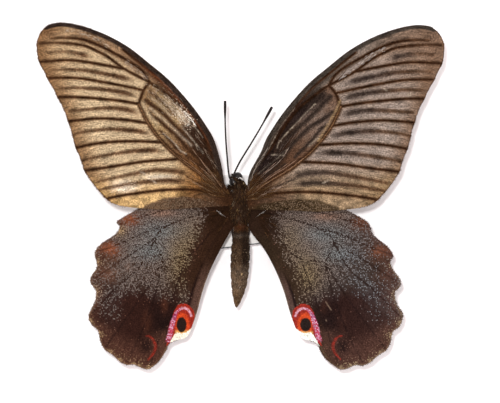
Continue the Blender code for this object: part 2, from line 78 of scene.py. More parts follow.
# Fineness, thickness, wear and relief of the wings
LINE_STEP = 0.6
RIM_STEP = 0.5
WING_SPACING = 0.17
ROW_SPACING = 0.866
RIM_SPACING = 0.22
WING_THICKNESS = 0.16
RIM_WEAR = 0.05
SCALLOP_DEPTH = 0.16
VEIN_HEIGHT = 0.11
VEIN_WIDTH = 0.24
COSTA_HEIGHT = 0.2
COSTA_WIDTH = 0.45
PLEAT_DEPTH = 0.16
STREAK_HEIGHT = 0.11
STREAK_WIDTH = 0.6
SHARP_ANGLE = math.radians(60.0)
# Scales of the wings: their grain, silky strokes and dusted dots
SCALE_ROUGHNESS = 0.7
GRAIN_SCALE = 3300.0
STROKE_WIDTH = 0.28
STROKE_LENGTH = 2.4
DOT_SCALE = 3200.0
DOT_SCATTER = 0.85
DOT_RADIUS = 0.42
DUST_GAIN = 2.1

# Outline of the forewing, clockwise from the root, and its veins
FORE_EDGE = [
    (1.0, 3.8), (3.4, 4.6), (4.2, 6.0), (5.0, 10.9), (6.9, 17.4), (9.3, 21.6), (12.8, 26.5),
    (18.4, 32.8), (23.6, 37.2), (28.8, 41.3), (34.0, 44.3), (39.2, 46.4), (44.4, 47.7),
    (47.8, 47.8), (50.6, 47.0), (52.5, 44.7), (53.1, 40.8), (52.2, 37.2), (49.6, 32.1),
    (46.9, 27.0), (44.8, 21.9), (43.6, 17.4), (41.8, 12.5), (40.4, 8.9), (37.6, 4.8), (34.2, 1.5),
    (30.6, 0.2), (26.8, -0.3), (20.3, -0.7), (14.2, -0.4), (9.3, -0.1), (3.8, 0.2), (1.0, 0.6),
]
FORE_COSTA = FORE_EDGE[1:15]
FORE_TERMEN = FORE_EDGE[14:26]
FORE_VEINS = {
    "subcosta": [(4.4, 5.2), (6.9, 14.3), (10.1, 20.6), (18.1, 30.6), (23.6, 35.4), (30.6, 40.9)],
    "radius": [(3.9, 4.2), (5.6, 10.4), (10.1, 18.6), (15.3, 25.8), (21.0, 30.6), (23.7, 32.4),
               (30.3, 35.9), (35.2, 39.4), (40.8, 41.9), (47.1, 42.6), (52.2, 42.5)],
    "radius_upper": [(23.7, 32.4), (25.6, 35.3), (28.8, 37.7), (33.7, 40.4), (36.6, 41.9),
                     (40.5, 43.3), (44.1, 43.9), (49.1, 43.8)],
    "radius_lower": [(30.3, 35.9), (38.0, 37.3), (44.3, 38.1), (52.0, 37.7)],
    "cell_end": [(23.7, 32.4), (25.3, 30.3), (26.5, 26.8)],
    "media_1": [(25.3, 30.3), (32.4, 31.8), (41.9, 33.4), (49.6, 33.5)],
    "media_2": [(26.5, 26.8), (32.4, 27.7), (41.9, 28.5), (47.0, 28.5)],
    "cubitus": [(3.8, 2.9), (9.7, 7.9), (15.8, 12.5), (20.3, 16.8), (24.0, 21.7), (26.5, 26.8)],
    "media_3": [(24.0, 21.7), (28.9, 22.5), (36.6, 23.0), (44.4, 22.3)],
    "cubitus_1": [(20.3, 16.8), (28.9, 17.1), (36.6, 16.6), (42.8, 15.4)],
    "cubitus_2": [(15.8, 12.5), (25.1, 11.8), (32.7, 10.6), (40.1, 9.5)],
    "anal": [(3.8, 1.6), (9.3, 4.1), (18.4, 4.5), (28.9, 3.3), (34.3, 2.3)],
}
# Dark streaks down the middle of each forewing space, from the inner end to the margin
FORE_STREAKS = [
    [(39.2, 39.0), (44.9, 40.3), (50.1, 40.0)],
    [(28.0, 32.9), (32.4, 34.0), (36.6, 34.8), (41.8, 35.6), (49.6, 35.6)],
    [(27.2, 28.9), (33.7, 30.3), (41.8, 30.9), (47.0, 30.8)],
    [(26.8, 23.9), (28.3, 25.0), (33.7, 25.7), (40.1, 25.3), (44.4, 25.0)],
    [(23.6, 19.0), (26.7, 19.7), (33.7, 20.2), (40.8, 19.5), (43.4, 18.7)],
    [(20.2, 14.4), (23.6, 14.8), (28.9, 14.4), (37.4, 13.0), (40.8, 12.1)],
    [(13.2, 8.5), (16.3, 9.2), (19.8, 9.5), (23.6, 9.4), (33.2, 7.5), (37.4, 6.5)],
    [(13.5, 6.5), (19.8, 6.9), (28.9, 6.0), (37.0, 4.4)],
]
# Dark streaks of each forewing's cell and tip: strength, half width and line
FORE_DARK_LINES = {
    "left": [
        (0.6, 0.45, [(23.6, 29.9), (22.3, 28.9), (21.0, 27.8), (19.7, 26.8), (18.4, 25.0), (17.1, 23.9)]),
        (0.95, 0.55,
         [(24.6, 27.6), (22.8, 26.3), (21.0, 25.0), (19.2, 23.4), (17.9, 21.8), (16.3, 20.3), (14.8, 18.5),
         (12.9, 16.4)]),
        (0.95, 0.52,
         [(23.9, 24.7), (22.8, 23.4), (21.0, 22.4), (19.7, 21.1), (18.4, 20.0), (16.8, 18.7), (15.5, 17.2),
         (13.7, 15.1), (11.9, 13.5), (10.3, 12.0), (8.5, 9.9), (6.7, 7.3)]),
        (0.8, 0.38, [(21.0, 19.8), (19.2, 18.2), (17.9, 16.6), (16.8, 15.3), (15.5, 14.3)]),
        (0.7, 0.5, [(14.2, 13.5), (11.9, 11.7), (9.6, 9.6), (7.5, 7.5)]),
        (0.25, 0.6, [(41.3, 43.7), (37.9, 42.6), (34.0, 40.3), (30.1, 37.7), (26.7, 35.1)]),
        (0.35, 0.6, [(23.6, 32.2), (21.8, 31.5), (20.0, 30.2), (18.1, 28.9), (16.1, 27.0), (14.0, 24.7)]),
        (0.85, 0.55, [(10.8, 14.8), (8.4, 11.5), (6.7, 8.7), (4.5, 5.2)]),
        (0.75, 0.28, [(13.4, 14.8), (10.8, 12.4), (8.4, 9.8), (6.5, 7.4), (4.9, 5.2)]),
        (0.7, 0.2, [(14.0, 7.9), (10.4, 5.9), (7.4, 4.1)]),
    ],
    "right": [
        (0.98, 1.6, [(6.9, 11.8), (8.5, 18.1), (10.8, 20.9), (14.7, 24.9), (19.1, 28.4), (21.5, 29.6)]),
        (0.93, 0.62, [(9.6, 13.4), (11.1, 16.7), (14.8, 20.6), (18.2, 23.7), (21.3, 26.8), (23.9, 29.4)]),
        (0.93, 0.60,
         [(8.6, 9.8), (12.3, 15.1), (16.3, 19.5), (18.9, 21.8), (21.2, 23.1), (23.5, 24.7), (24.3, 25.3)]),
        (0.85, 0.42, [(14.6, 13.8), (17.7, 16.9), (19.5, 18.8), (21.1, 20.8), (22.4, 21.8)]),
        (0.8, 0.45, [(11.4, 14.8), (9.2, 12.2), (7.2, 9.2), (5.6, 6.2)]),
        (0.75, 0.28, [(12.2, 12.0), (9.8, 9.9), (7.6, 7.6), (5.8, 5.4)]),
        (0.6, 0.2, [(15.0, 8.3), (11.0, 6.4), (8.0, 4.6)]),
        (0.25, 0.6, [(26.0, 34.0), (30.1, 37.7), (34.0, 40.3), (37.9, 42.6), (41.3, 43.7)]),
    ],
}

# Outline of the hindwing, clockwise from the root, the points that differ on each side, and its veins
HIND_EDGE = [
    (1.0, 0.5), (3.1, 1.0), (9.3, 2.4), (14.5, 3.0), (19.2, 2.7), (22.8, 1.6), (26.4, -0.2),
    (30.4, -2.6), (32.8, -4.2), (33.9, -5.7), (34.2, -7.2), (36.6, -9.8), (38.0, -12.0),
    (37.6, -14.1), (37.5, -15.8), (39.0, -18.2), (39.0, -20.0), (37.7, -21.8), (38.0, -24.6),
    (39.6, -28.2), (39.0, -30.4), (37.2, -32.2), (36.6, -35.0), (35.4, -37.2), (33.6, -38.4),
    (31.4, -40.4), (29.5, -41.2), (27.9, -41.1), (25.8, -42.0), (24.2, -42.3), (22.7, -41.5),
    (20.9, -39.7), (19.4, -37.2), (18.6, -35.6), (16.8, -34.7), (14.6, -34.2), (13.2, -32.4),
    (11.4, -27.3), (9.9, -21.8), (8.0, -16.6), (5.1, -10.7), (2.4, -5.9), (1.0, -3.8),
]
TORN_MARGIN = {(32.8, -4.2): (32.2, -3.8), (33.9, -5.7): (31.5, -5.3), (34.2, -7.2): (32.8, -7.2)}
RIGHT_MARGIN = {
    (32.8, -4.2): (31.6, -4.2), (33.9, -5.7): (31.8, -5.6), (34.2, -7.2): (33.0, -7.0),
    (36.6, -9.8): (36.1, -9.7), (38.0, -12.0): (37.25, -11.9), (37.6, -14.1): (36.55, -13.7),
    (37.5, -15.8): (37.4, -15.7), (20.9, -39.7): (20.4, -39.6), (19.4, -37.2): (18.9, -37.2),
    (18.6, -35.6): (18.3, -35.6), (2.4, -5.9): (1.8, -6.1), (38.0, -24.6): (38.3, -25.0),
    (39.6, -28.2): (39.75, -27.4),
}
NICKS = {"left": TORN_MARGIN, "right": RIGHT_MARGIN}
HIND_TERMEN = HIND_EDGE[8:34]
HIND_VEINS = {
    "cell_top": [(3.3, -0.4), (10.6, -1.9), (18.4, -4.6), (22.3, -8.2), (20.2, -13.7)],
    "cell_low": [(3.5, -2.1), (8.0, -6.8), (11.0, -10.4), (14.1, -12.8), (20.2, -13.7)],
    "subcosta": [(5.6, 0.4), (14.5, 0.6), (22.8, -1.6), (31.6, -4.4)],
    "radius": [(18.4, -4.6), (25.0, -6.6), (31.0, -9.4), (36.6, -11.4)],
    "media_1": [(22.3, -8.2), (28.9, -12.5), (33.5, -15.5), (37.8, -18.5)],
    "media_2": [(22.3, -8.2), (26.4, -15.6), (32.8, -21.4), (38.6, -27.6)],
    "media_3": [(20.2, -13.7), (25.0, -22.0), (30.4, -29.8), (35.2, -36.4)],
    "cubitus_1": [(20.2, -13.7), (22.4, -23.0), (26.0, -33.0), (29.6, -40.2)],
    "cubitus_2": [(14.1, -12.8), (17.2, -22.0), (20.6, -32.0), (23.6, -41.2)],
    "anal": [(3.4, -3.2), (8.4, -11.6), (12.0, -20.0), (14.6, -28.6), (16.6, -33.8)],
}
# Pearly patch of the forewing's cell, which is painted shine, and the cell's deep shade, along their middles
FORE_PAINTED_SHINE = [(23.0, 30.9), (19.9, 28.2), (16.6, 25.1), (13.6, 22.2)]
FORE_SHADE = [(12.4, 20.4), (10.2, 15.4), (7.4, 9.6), (5.0, 5.2)]
# Lower limit of the hindwing's dusting
DUST_LIMIT = {
    "left": [(11.0, -23.5), (16.0, -24.8), (19.0, -24.4), (22.0, -23.4), (26.0, -22.0),
             (29.0, -22.2), (32.0, -24.0), (36.0, -26.5)],
    "right": [(11.0, -23.5), (16.0, -25.2), (19.0, -24.2), (22.0, -22.6), (25.0, -21.6),
              (28.0, -22.0), (31.0, -24.8), (34.0, -28.0), (37.0, -30.0)],
}
# Markings of the hindwing
SPOT_OUTLINE = [
    (19.5, -36.3), (18.9, -34.1), (18.5, -32.0), (18.0, -29.4), (17.4, -27.3), (16.5, -25.7),
    (15.5, -25.2), (14.4, -25.2), (13.2, -25.9), (12.4, -27.0), (12.1, -28.3), (12.2, -29.6),
    (12.6, -30.9), (12.9, -32.1), (14.2, -33.0), (16.8, -33.1), (17.6, -33.8), (18.4, -35.4),
    (19.5, -36.3),
]
CREAM_OUTLINE = [
    (11.0, -31.0), (12.9, -31.7), (14.2, -32.7), (15.4, -33.0), (16.7, -32.7), (17.4, -33.4),
    (18.2, -34.8), (18.8, -36.4), (18.0, -38.0), (11.0, -38.0), (11.0, -31.0),
]
LILAC_BAND = [
    (19.3, -35.6), (18.6, -33.8), (18.2, -31.8), (17.6, -29.7), (16.9, -27.8), (15.8, -26.6),
    (14.5, -26.4), (13.5, -27.1), (12.9, -28.4),
]
PUPIL_CENTRE = (15.45, -30.7)
PUPIL_SIZE = (1.28, 2.0)
CRESCENT = [(24.6, -33.6), (23.5, -33.9), (22.6, -35.2), (22.3, -36.6), (22.9, -38.2), (24.2, -39.9)]
CRESCENT_HEART = (24.6, -36.2)
# Rust patches: centre, half sizes and strength
RUST_PATCHES = [
    ((29.2, -3.1), (2.6, 1.9), 1.0), ((34.0, -10.6), (2.1, 1.3), 1.0), ((33.2, -11.9), (2.4, 1.7), 0.4),
    ((35.0, -17.7), (2.5, 1.7), 0.25), ((19.8, -25.5), (1.0, 2.2), 0.16),
    ((24.5, -30.0), (1.2, 3.0), 0.10),
]
# Rubbed marks on the right hindwing
HIND_SCRATCHES = [[(20.4, -24.3), (21.0, -25.3), (21.7, -26.4)], [(20.4, -29.0), (20.5, -29.3)]]
# Pale specks in the notches of the outer margin; the first is the torn one on the left
NOTCHES = [
    (31.5, -6.1), (37.2, -14.3), (37.8, -22.1), (36.7, -33.0), (34.1, -37.7), (31.6, -39.8),
    (27.9, -41.0), (26.4, -41.4), (24.3, -41.8), (38.9, -29.6),
]

# Pigments of the forewings, in linear light
# The tan and gold pigments are the left forewing's painted lit tone, the grey ones below the right forewing's
# painted shaded tone of the same scales
LIT_TAN = (0.345, 0.268, 0.163)
TAN_EDGE = (0.150, 0.083, 0.038)
GOLD = (0.385, 0.245, 0.094)
SHADED_GREY_TAN = (0.188, 0.153, 0.127)
GREY_EDGE = (0.125, 0.078, 0.050)
GREY_GOLD = (0.195, 0.130, 0.064)
# Pale of the pale lines, and of the painted shine over the left cell
PEARL = (0.27, 0.225, 0.168)
# Painted highlight: pale glare on the left forewing
PAINTED_SHEEN = (0.84, 0.77, 0.64)
CELL_BROWN = (0.040, 0.017, 0.008)
CELL_BLACK = (0.0105, 0.0068, 0.0060)
CELL_DARK = (0.017, 0.0085, 0.005)
CELL_UMBER = (0.084, 0.050, 0.033)
CORE_GOLD = (0.15, 0.080, 0.038)
VEIN_BROWN = (0.0155, 0.0062, 0.0026)
STREAK_GREY = (0.0175, 0.0120, 0.0092)
STREAK_BROWN = (0.0265, 0.0120, 0.0056)
COSTA_BROWN = (0.019, 0.0125, 0.0095)
COSTA_RED = (0.085, 0.026, 0.010)
COSTA_GREY = (0.030, 0.024, 0.019)
BASE_BROWN = (0.026, 0.0115, 0.0055)
BASE_RUST = (0.125, 0.056, 0.0175)
BASE_UMBER = (0.066, 0.036, 0.0185)
# Painted shade where the forewing lies over the hindwing, and the pale dots dusted over that shade
OVERLAP_SHADE_OLIVE = (0.022, 0.0138, 0.0066)
OVERLAP_SHADE_BROWN = (0.044, 0.0250, 0.0150)
OVERLAP_SHADE_DUST = (0.100, 0.069, 0.043)
# Pigments of the hindwings
HIND_BROWN = (0.0225, 0.0105, 0.0058)
HIND_MAROON = (0.0205, 0.0082, 0.0060)
HIND_BLACK = (0.0085, 0.0045, 0.0040)
HIND_EDGE_BROWN = (0.054, 0.0235, 0.0155)
HIND_FOLD_BROWN = (0.066, 0.036, 0.026)
HIND_RIM_PALE = (0.19, 0.13, 0.09)
INNER_OLIVE = (0.026, 0.0145, 0.0075)
RUST = (0.210, 0.066, 0.029)
PATCH_PALE = (0.22, 0.13, 0.09)
NOTCH_OCHRE = (0.25, 0.17, 0.09)
DUST_BLUE = (0.130, 0.146, 0.146)
DUST_OLIVE = (0.165, 0.124, 0.069)
DUST_GREY = (0.122, 0.097, 0.083)
# Pigments of the eyespots
SPOT_RED = (0.20, 0.017, 0.010)
SPOT_ORANGE = (0.46, 0.052, 0.011)
SPOT_YELLOW = (0.55, 0.30, 0.09)
SPOT_LILAC = (0.30, 0.038, 0.062)
SPOT_PURPLE = (0.20, 0.030, 0.085)
SPOT_PINK = (0.42, 0.17, 0.17)
SPOT_CREAM = (0.70, 0.66, 0.52)
SPOT_SPECKS = (0.42, 0.25, 0.34)
PUPIL_BLACK = (0.014, 0.0085, 0.0068)
# Pigments of the body and the coat
BODY_BROWN = (0.050, 0.026, 0.0150)
HAIR_DARK = (0.020, 0.0105, 0.0055)
HAIR_BROWN = (0.082, 0.037, 0.0145)
HAIR_RED = (0.078, 0.026, 0.010)
HAIR_GOLD = (0.17, 0.088, 0.031)
HAIR_PALE = (0.26, 0.19, 0.12)
FRINGE_AND_GLINT_WHITE = (0.90, 0.86, 0.80)
ABDOMEN_BROWN = (0.148, 0.086, 0.043)
ABDOMEN_GREY = (0.085, 0.066, 0.050)
ABDOMEN_ASH = (0.165, 0.128, 0.095)
ABDOMEN_DARK = (0.026, 0.015, 0.009)

# What differs between the colours of the two forewings; besides their own markings, the left is painted lit
# and golden and the right darker and greyer, as painted light and painted shade on the same scales
FORE_HUB = (3.0, 3.0)
FORE_LOOKS = {
    "left": {
        "ground": LIT_TAN, "edge": TAN_EDGE, "gold": GOLD, "cell": tuple(0.5 * part for part in GOLD),
        "cell_brown": CELL_BROWN, "base": BASE_RUST, "streak": STREAK_BROWN, "costa": COSTA_BROWN,
        "over": OVERLAP_SHADE_BROWN, "edge_reach": 3.6, "apex": 0.22, "gold_from": (-9.0, -3.0),
        "below_costa": 0.36, "base_reach": (9.0, 19.0), "streak_size": (0.88, 0.66, 0.32),
        "vein": 0.90, "pale_width": 1.0, "red": 0.85,
    },
    "right": {
        "ground": SHADED_GREY_TAN, "edge": GREY_EDGE, "gold": GREY_GOLD, "cell": CELL_UMBER,
        "cell_brown": COSTA_GREY, "base": BASE_UMBER, "streak": STREAK_GREY, "costa": COSTA_GREY,
        "over": OVERLAP_SHADE_OLIVE, "edge_reach": 2.8, "apex": 0.75, "gold_from": (-14.0, -5.0),
        "below_costa": 0.2, "base_reach": (6.5, 14.5), "streak_size": (0.94, 0.80, 0.40),
        "vein": 0.96, "pale_width": 0.8, "red": 0.15,
    },
}
# What differs between the colours of the two hindwings
HIND_LOOKS = {
    "left": {
        "margin": 1.7, "fold": (1.2, 1.0, 2.5), "rust": 1.0, "dust_limit": DUST_LIMIT["left"],
        "dust_start": 6.4, "outer_dust": ((34.0, -25.0), (3.0, 5.5)), "outer_share": 0.45,
        "tail_dust": (1.6, 3.4), "rear_blue": 0.1, "olive_reach": 8.0, "notches": NOTCHES,
        "spot_shift": (0.0, 0.0), "pupil": (1.0, 1.0),
        "pale_patches": [((20.6, -1.5), (3.0, 0.9), 0.35), ((34.0, -16.0), (2.4, 3.0), 0.25),
                         ((29.4, -15.6), (0.8, 0.9), 0.6)],
    },
    "right": {
        "margin": 3.1, "fold": (0.95, 0.6, 1.85), "rust": 0.4, "dust_limit": DUST_LIMIT["right"],
        "dust_start": 3.8, "outer_dust": ((33.5, -25.5), (4.0, 5.0)), "outer_share": 0.4,
        "tail_dust": (2.3, 3.8), "rear_blue": 0.5, "olive_reach": 5.5, "notches": NOTCHES[1:],
        "spot_shift": (-0.15, 0.3), "pupil": (1.08, 0.9),
        "pale_patches": [((20.6, -1.5), (3.0, 0.9), 0.35)],
    },
}

# Pale lines, strokes and rubbed places: pigment, strength, half width and line
FORE_PALE_LINES = {
    "left": [
        (PEARL, 0.85, 0.17, [(20.2, 19.2), (18.4, 17.7), (16.8, 16.1), (15.8, 14.8), (14.2, 13.8)]),
        (PEARL, 0.6, 0.36,
         [(23.6, 25.7), (21.5, 23.9), (19.7, 22.4), (17.9, 20.8), (16.1, 19.0), (14.2, 17.2), (12.9, 16.1)]),
        (PEARL, 0.5, 0.32, [(23.3, 28.3), (21.5, 27.0), (20.0, 25.5), (18.4, 23.9)]),
        (LIT_TAN, 0.8, 0.5, [(25.4, 27.0), (24.4, 25.0), (23.3, 23.1), (21.8, 21.6)]),
        (PEARL, 0.7, 0.16, [(15.0, 20.5), (13.2, 18.2), (11.4, 16.1), (9.8, 14.0)]),
        (PEARL, 0.5, 0.13, [(13.7, 19.2), (12.4, 17.4), (11.1, 14.8)]),
        (PEARL, 0.6, 0.13, [(12.2, 21.1), (10.9, 19.5), (9.8, 17.9)]),
        (PEARL, 0.4, 0.12, [(9.3, 9.1), (7.5, 7.5), (5.4, 4.9)]),
        (PEARL, 0.45, 0.12, [(9.0, 10.4), (7.2, 8.3), (5.1, 5.2)]),
        (PEARL, 0.5, 0.14, [(21.8, 34.3), (19.2, 31.5), (16.6, 28.9), (14.0, 26.3), (11.6, 23.4)]),
        (PEARL, 0.45, 0.13, [(12.4, 6.5), (10.1, 5.2), (8.3, 4.2)]),
        (PEARL, 0.8, 0.25, [(25.9, 9.1), (24.6, 8.3), (23.3, 7.5)]),
        (PEARL, 0.7, 0.2, [(23.1, 7.0), (22.0, 6.2)]),
    ],
    "right": [
        (PEARL, 0.75, 0.16,
         [(10.1, 16.2), (10.9, 18.0), (13.5, 20.9), (16.2, 23.7), (18.2, 25.8), (20.1, 27.6)]),
        (PEARL, 0.6, 0.13,
         [(5.6, 10.5), (6.5, 13.1), (7.6, 15.2), (8.9, 17.6), (11.0, 21.5), (13.7, 25.1), (15.0, 26.6)]),
        (GREY_GOLD, 0.9, 0.36, [(20.5, 17.9), (23.7, 23.1), (25.3, 25.9), (26.4, 28.3)]),
        (PEARL, 0.6, 0.3, [(18.2, 16.6), (20.5, 18.7)]),
        (PEARL, 0.7, 0.22, [(9.0, 14.4), (10.3, 14.4), (11.8, 14.3)]),
        (PEARL, 0.8, 0.25, [(21.3, 6.8), (22.9, 7.6)]),
        (PEARL, 0.4, 0.12, [(5.0, 7.2), (9.0, 12.0), (12.6, 15.8)]),
        (PEARL, 0.9, 0.4, [(43.5, 29.5), (44.2, 29.7)]),
        (PEARL, 0.8, 0.25, [(37.6, 31.2), (38.1, 30.8)]),
        (PEARL, 0.8, 0.25, [(39.8, 8.5), (40.4, 8.9)]),
        (PEARL, 0.6, 0.2, [(33.5, 26.9), (34.6, 26.7)]),
    ],
}

# Silk on the forewings: pigment, count, spread, shortest and longest, half width and line
FORE_SILK = {
    "left": [
        # Over the left cell the pale groups, above all the two nearly white ones, are painted shine and
        # glints; the dark group among them is a streak
        ((0.50, 0.42, 0.32), 110, 0.8, (0.5, 1.6), 0.04, [(20.4, 28.2), (18.4, 26.6), (16.6, 25.0)]),
        ((0.34, 0.26, 0.18), 130, 1.3, (0.6, 1.8), 0.035, FORE_PAINTED_SHINE),
        ((0.040, 0.019, 0.010), 120, 1.2, (0.6, 2.0), 0.04, [(22.4, 30.2), (19.9, 28.0), (17.4, 25.8)]),
        ((0.88, 0.82, 0.68), 190, 0.62, (0.15, 0.6), 0.05, [(16.6, 25.0), (15.2, 23.7), (13.2, 21.9)]),
        ((0.95, 0.88, 0.76), 60, 0.07, (0.3, 0.8), 0.05,
         [(14.9, 24.9), (13.8, 23.8), (12.7, 22.6), (11.9, 21.4)]),
        ((0.46, 0.34, 0.24), 140, 0.75, (0.2, 0.8), 0.045, [(18.6, 27.0), (16.0, 24.7), (12.8, 21.0)]),
        ((0.46, 0.40, 0.31), 100, 0.30, (0.4, 1.2), 0.04,
         [(45.6, 45.9), (42.0, 45.5), (38.0, 43.9), (34.4, 41.9)]),
        ((0.42, 0.34, 0.26), 70, 0.30, (0.4, 1.2), 0.04, [(30.0, 38.0), (27.0, 35.6), (24.8, 33.6)]),
        ((0.32, 0.180, 0.095), 34, 0.03, (1.5, 3.0), 0.035,
         [(4.2, 2.4), (7.1, 6.1), (10.8, 9.2), (14.5, 12.0)]),
        ((0.32, 0.190, 0.115), 26, 0.03, (1.5, 3.0), 0.035,
         [(3.8, 2.8), (6.0, 5.6), (8.9, 8.9), (12.3, 11.6)]),
        ((0.30, 0.200, 0.130), 30, 0.05, (1.0, 2.4), 0.04,
         [(4.5, 4.4), (6.2, 6.8), (8.4, 9.4), (10.1, 11.7), (12.1, 14.5)]),
        ((0.32, 0.200, 0.115), 26, 0.05, (1.0, 2.4), 0.035, [(6.6, 3.4), (9.9, 5.1), (12.8, 6.8)]),
        ((0.26, 0.150, 0.085), 26, 0.04, (1.2, 2.6), 0.03, [(4.8, 3.6), (8.2, 7.0), (11.8, 10.0)]),
        ((0.30, 0.170, 0.100), 26, 0.04, (1.2, 2.6), 0.03, [(4.6, 4.6), (7.0, 8.0), (9.8, 11.6)]),
        ((0.26, 0.150, 0.090), 26, 0.04, (1.2, 2.6), 0.03, [(4.8, 2.8), (8.8, 5.4), (13.2, 8.4)]),
        ((0.24, 0.180, 0.130), 40, 0.30, (0.8, 2.0), 0.035, [(6.2, 9.6), (8.6, 13.8), (11.4, 18.4)]),
        ((0.020, 0.009, 0.006), 70, 0.35, (1.0, 2.6), 0.04,
         [(4.5, 5.2), (6.7, 8.7), (8.4, 11.5), (10.8, 14.8)]),
        ((0.030, 0.012, 0.006), 36, 0.5, (1.0, 2.6), 0.03, [(3.8, 2.2), (7.4, 4.6), (12.0, 7.6)]),
        ((0.42, 0.33, 0.24), 70, 0.9, (0.5, 1.3), 0.04, [(34.0, 4.4), (30.4, 5.2), (27.4, 5.9)]),
    ],
    "right": [
        ((0.46, 0.41, 0.37), 150, 0.30, (0.4, 1.3), 0.04,
         [(38.6, 42.0), (35.0, 40.3), (31.6, 38.0), (28.6, 35.9), (26.6, 34.2)]),
        ((0.34, 0.200, 0.120), 40, 0.03, (1.5, 3.0), 0.035,
         [(4.8, 3.2), (8.2, 6.6), (11.8, 9.6), (15.5, 12.5)]),
        ((0.36, 0.230, 0.160), 32, 0.03, (1.5, 3.0), 0.035,
         [(4.8, 4.0), (7.4, 6.6), (10.6, 9.6), (13.8, 12.2)]),
        ((0.36, 0.270, 0.210), 36, 0.05, (1.0, 2.4), 0.04,
         [(5.8, 6.4), (8.4, 9.6), (10.8, 12.6), (12.6, 15.4)]),
        ((0.30, 0.190, 0.130), 30, 0.04, (1.2, 2.6), 0.03, [(5.4, 4.6), (8.6, 8.2), (12.0, 11.4)]),
        ((0.34, 0.230, 0.170), 30, 0.04, (1.2, 2.6), 0.03, [(5.2, 5.2), (7.2, 8.4), (9.4, 11.4)]),
        ((0.28, 0.180, 0.120), 30, 0.04, (1.2, 2.6), 0.03, [(5.4, 3.2), (9.6, 5.8), (14.0, 8.6)]),
        ((0.40, 0.290, 0.220), 44, 0.22, (0.8, 2.0), 0.045, [(6.6, 3.2), (8.4, 4.4), (10.6, 5.6)]),
        ((0.34, 0.280, 0.230), 46, 0.12, (0.8, 2.0), 0.04,
         [(4.6, 4.4), (5.4, 8.4), (6.2, 12.0), (7.6, 15.8)]),
        ((0.16, 0.120, 0.100), 60, 0.6, (0.8, 2.2), 0.03,
         [(5.4, 5.6), (8.0, 10.8), (11.8, 16.0), (15.6, 20.4)]),
        ((0.016, 0.009, 0.008), 90, 0.4, (1.0, 2.6), 0.04,
         [(5.4, 5.4), (7.2, 9.2), (9.2, 12.2), (11.4, 14.8)]),
        ((0.022, 0.010, 0.007), 40, 0.5, (1.0, 2.6), 0.035, [(4.8, 2.2), (8.4, 4.8), (13.0, 7.9)]),
    ],
}

# Body forms, as in the solids
THORAX = [
    (6.3, -0.6, 12.9, 1.65, 1.7), (4.9, -0.4, 12.8, 2.95, 2.6), (2.6, -0.2, 12.5, 3.05, 3.2),
    (0.2, -0.1, 12.5, 2.95, 3.3), (-2.4, -0.1, 12.5, 2.60, 3.1), (-5.3, 0.0, 12.6, 1.75, 2.2),
]
ABDOMEN = [
    (-4.6, 0.1, 12.7, 1.60, 1.8), (-7.0, 0.1, 12.7, 2.05, 2.25), (-11.2, 0.0, 12.5, 2.40, 2.50),
    (-16.0, -0.2, 12.2, 2.35, 2.40), (-20.3, -0.4, 11.9, 1.95, 2.05), (-24.0, -0.8, 11.6, 1.15, 1.30),
    (-26.1, -1.1, 11.4, 0.45, 0.50),
]
ABDOMEN_SEGMENTS = 9
HEAD_CENTRE = Vector((-1.2, 7.2, 12.9))
HEAD_TURN = math.radians(52.0)
HEAD_SIZES = (1.35, 1.2, 1.6)
EYE_RADIUS = 1.3
EYE_OFFSET = 0.85
PALPUS_RADIUS = 0.36
PALPUS_OFFSET = 0.56
PALPUS_PATH = [(0.35, -1.45), (0.95, -1.25), (1.4, -0.65), (1.5, 0.0)]
# Pale tufts on the head and thorax: place, pigment and number of scales
BODY_FLECKS = [
    ((-1.5, 6.3), (0.34, 0.26, 0.18), 10), ((0.85, 6.3), (0.36, 0.26, 0.14), 16),
    ((1.15, 5.7), (0.30, 0.20, 0.10), 10), ((-0.4, 5.9), (0.12, 0.06, 0.03), 10),
    ((-2.2, 4.3), (0.26, 0.25, 0.24), 8), ((-1.85, 1.6), (0.24, 0.19, 0.13), 6),
    ((-1.85, 1.0), (0.24, 0.19, 0.13), 6), ((-1.85, 0.5), (0.24, 0.19, 0.13), 6),
    ((-0.9, -0.6), (0.34, 0.22, 0.09), 9), ((1.95, -0.3), (0.24, 0.16, 0.10), 7),
    ((-2.4, -0.2), (0.22, 0.10, 0.03), 12), ((0.3, 3.4), (0.13, 0.07, 0.03), 8),
    ((-0.2, -4.4), (0.26, 0.13, 0.08), 7), ((0.5, -5.0), (0.20, 0.10, 0.06), 7),
    ((0.3, -17.3), (0.60, 0.43, 0.22), 12), ((-0.1, -20.7), (0.42, 0.34, 0.26), 8),
    ((-2.0, -12.4), (0.30, 0.22, 0.14), 5), ((-1.6, -19.2), (0.34, 0.26, 0.18), 5),
    ((1.6, 2.4), (0.14, 0.09, 0.05), 8), ((-0.9, 2.9), (0.13, 0.07, 0.03), 8),
]
ANTENNA_PATHS = {
    "antenna_left": [(-1.9, 6.9, 13.4), (-2.7, 7.4, 13.9), (-3.1, 9.0, 14.3), (-3.4, 12.2, 14.6),
                     (-3.8, 17.4, 15.0), (-4.0, 22.6, 15.4), (-4.0, 27.6, 15.6)],
    "antenna_right": [(-1.6, 7.4, 13.4), (-1.7, 8.4, 14.2), (-1.2, 9.7, 14.5), (0.1, 12.2, 14.8),
                      (3.0, 16.9, 15.2), (5.6, 21.3, 15.5), (8.2, 26.0, 15.7)],
}

# Camera: straight above, at the photograph's scale of millimetres to a pixel
PHOTO_SCALE = 0.26
PHOTO_WIDTH = 500
PHOTO_HEIGHT = 403
PHOTO_PIN = (240.5, 207.0)
CAMERA_DISTANCE = 700.0
SENSOR_WIDTH = 36.0
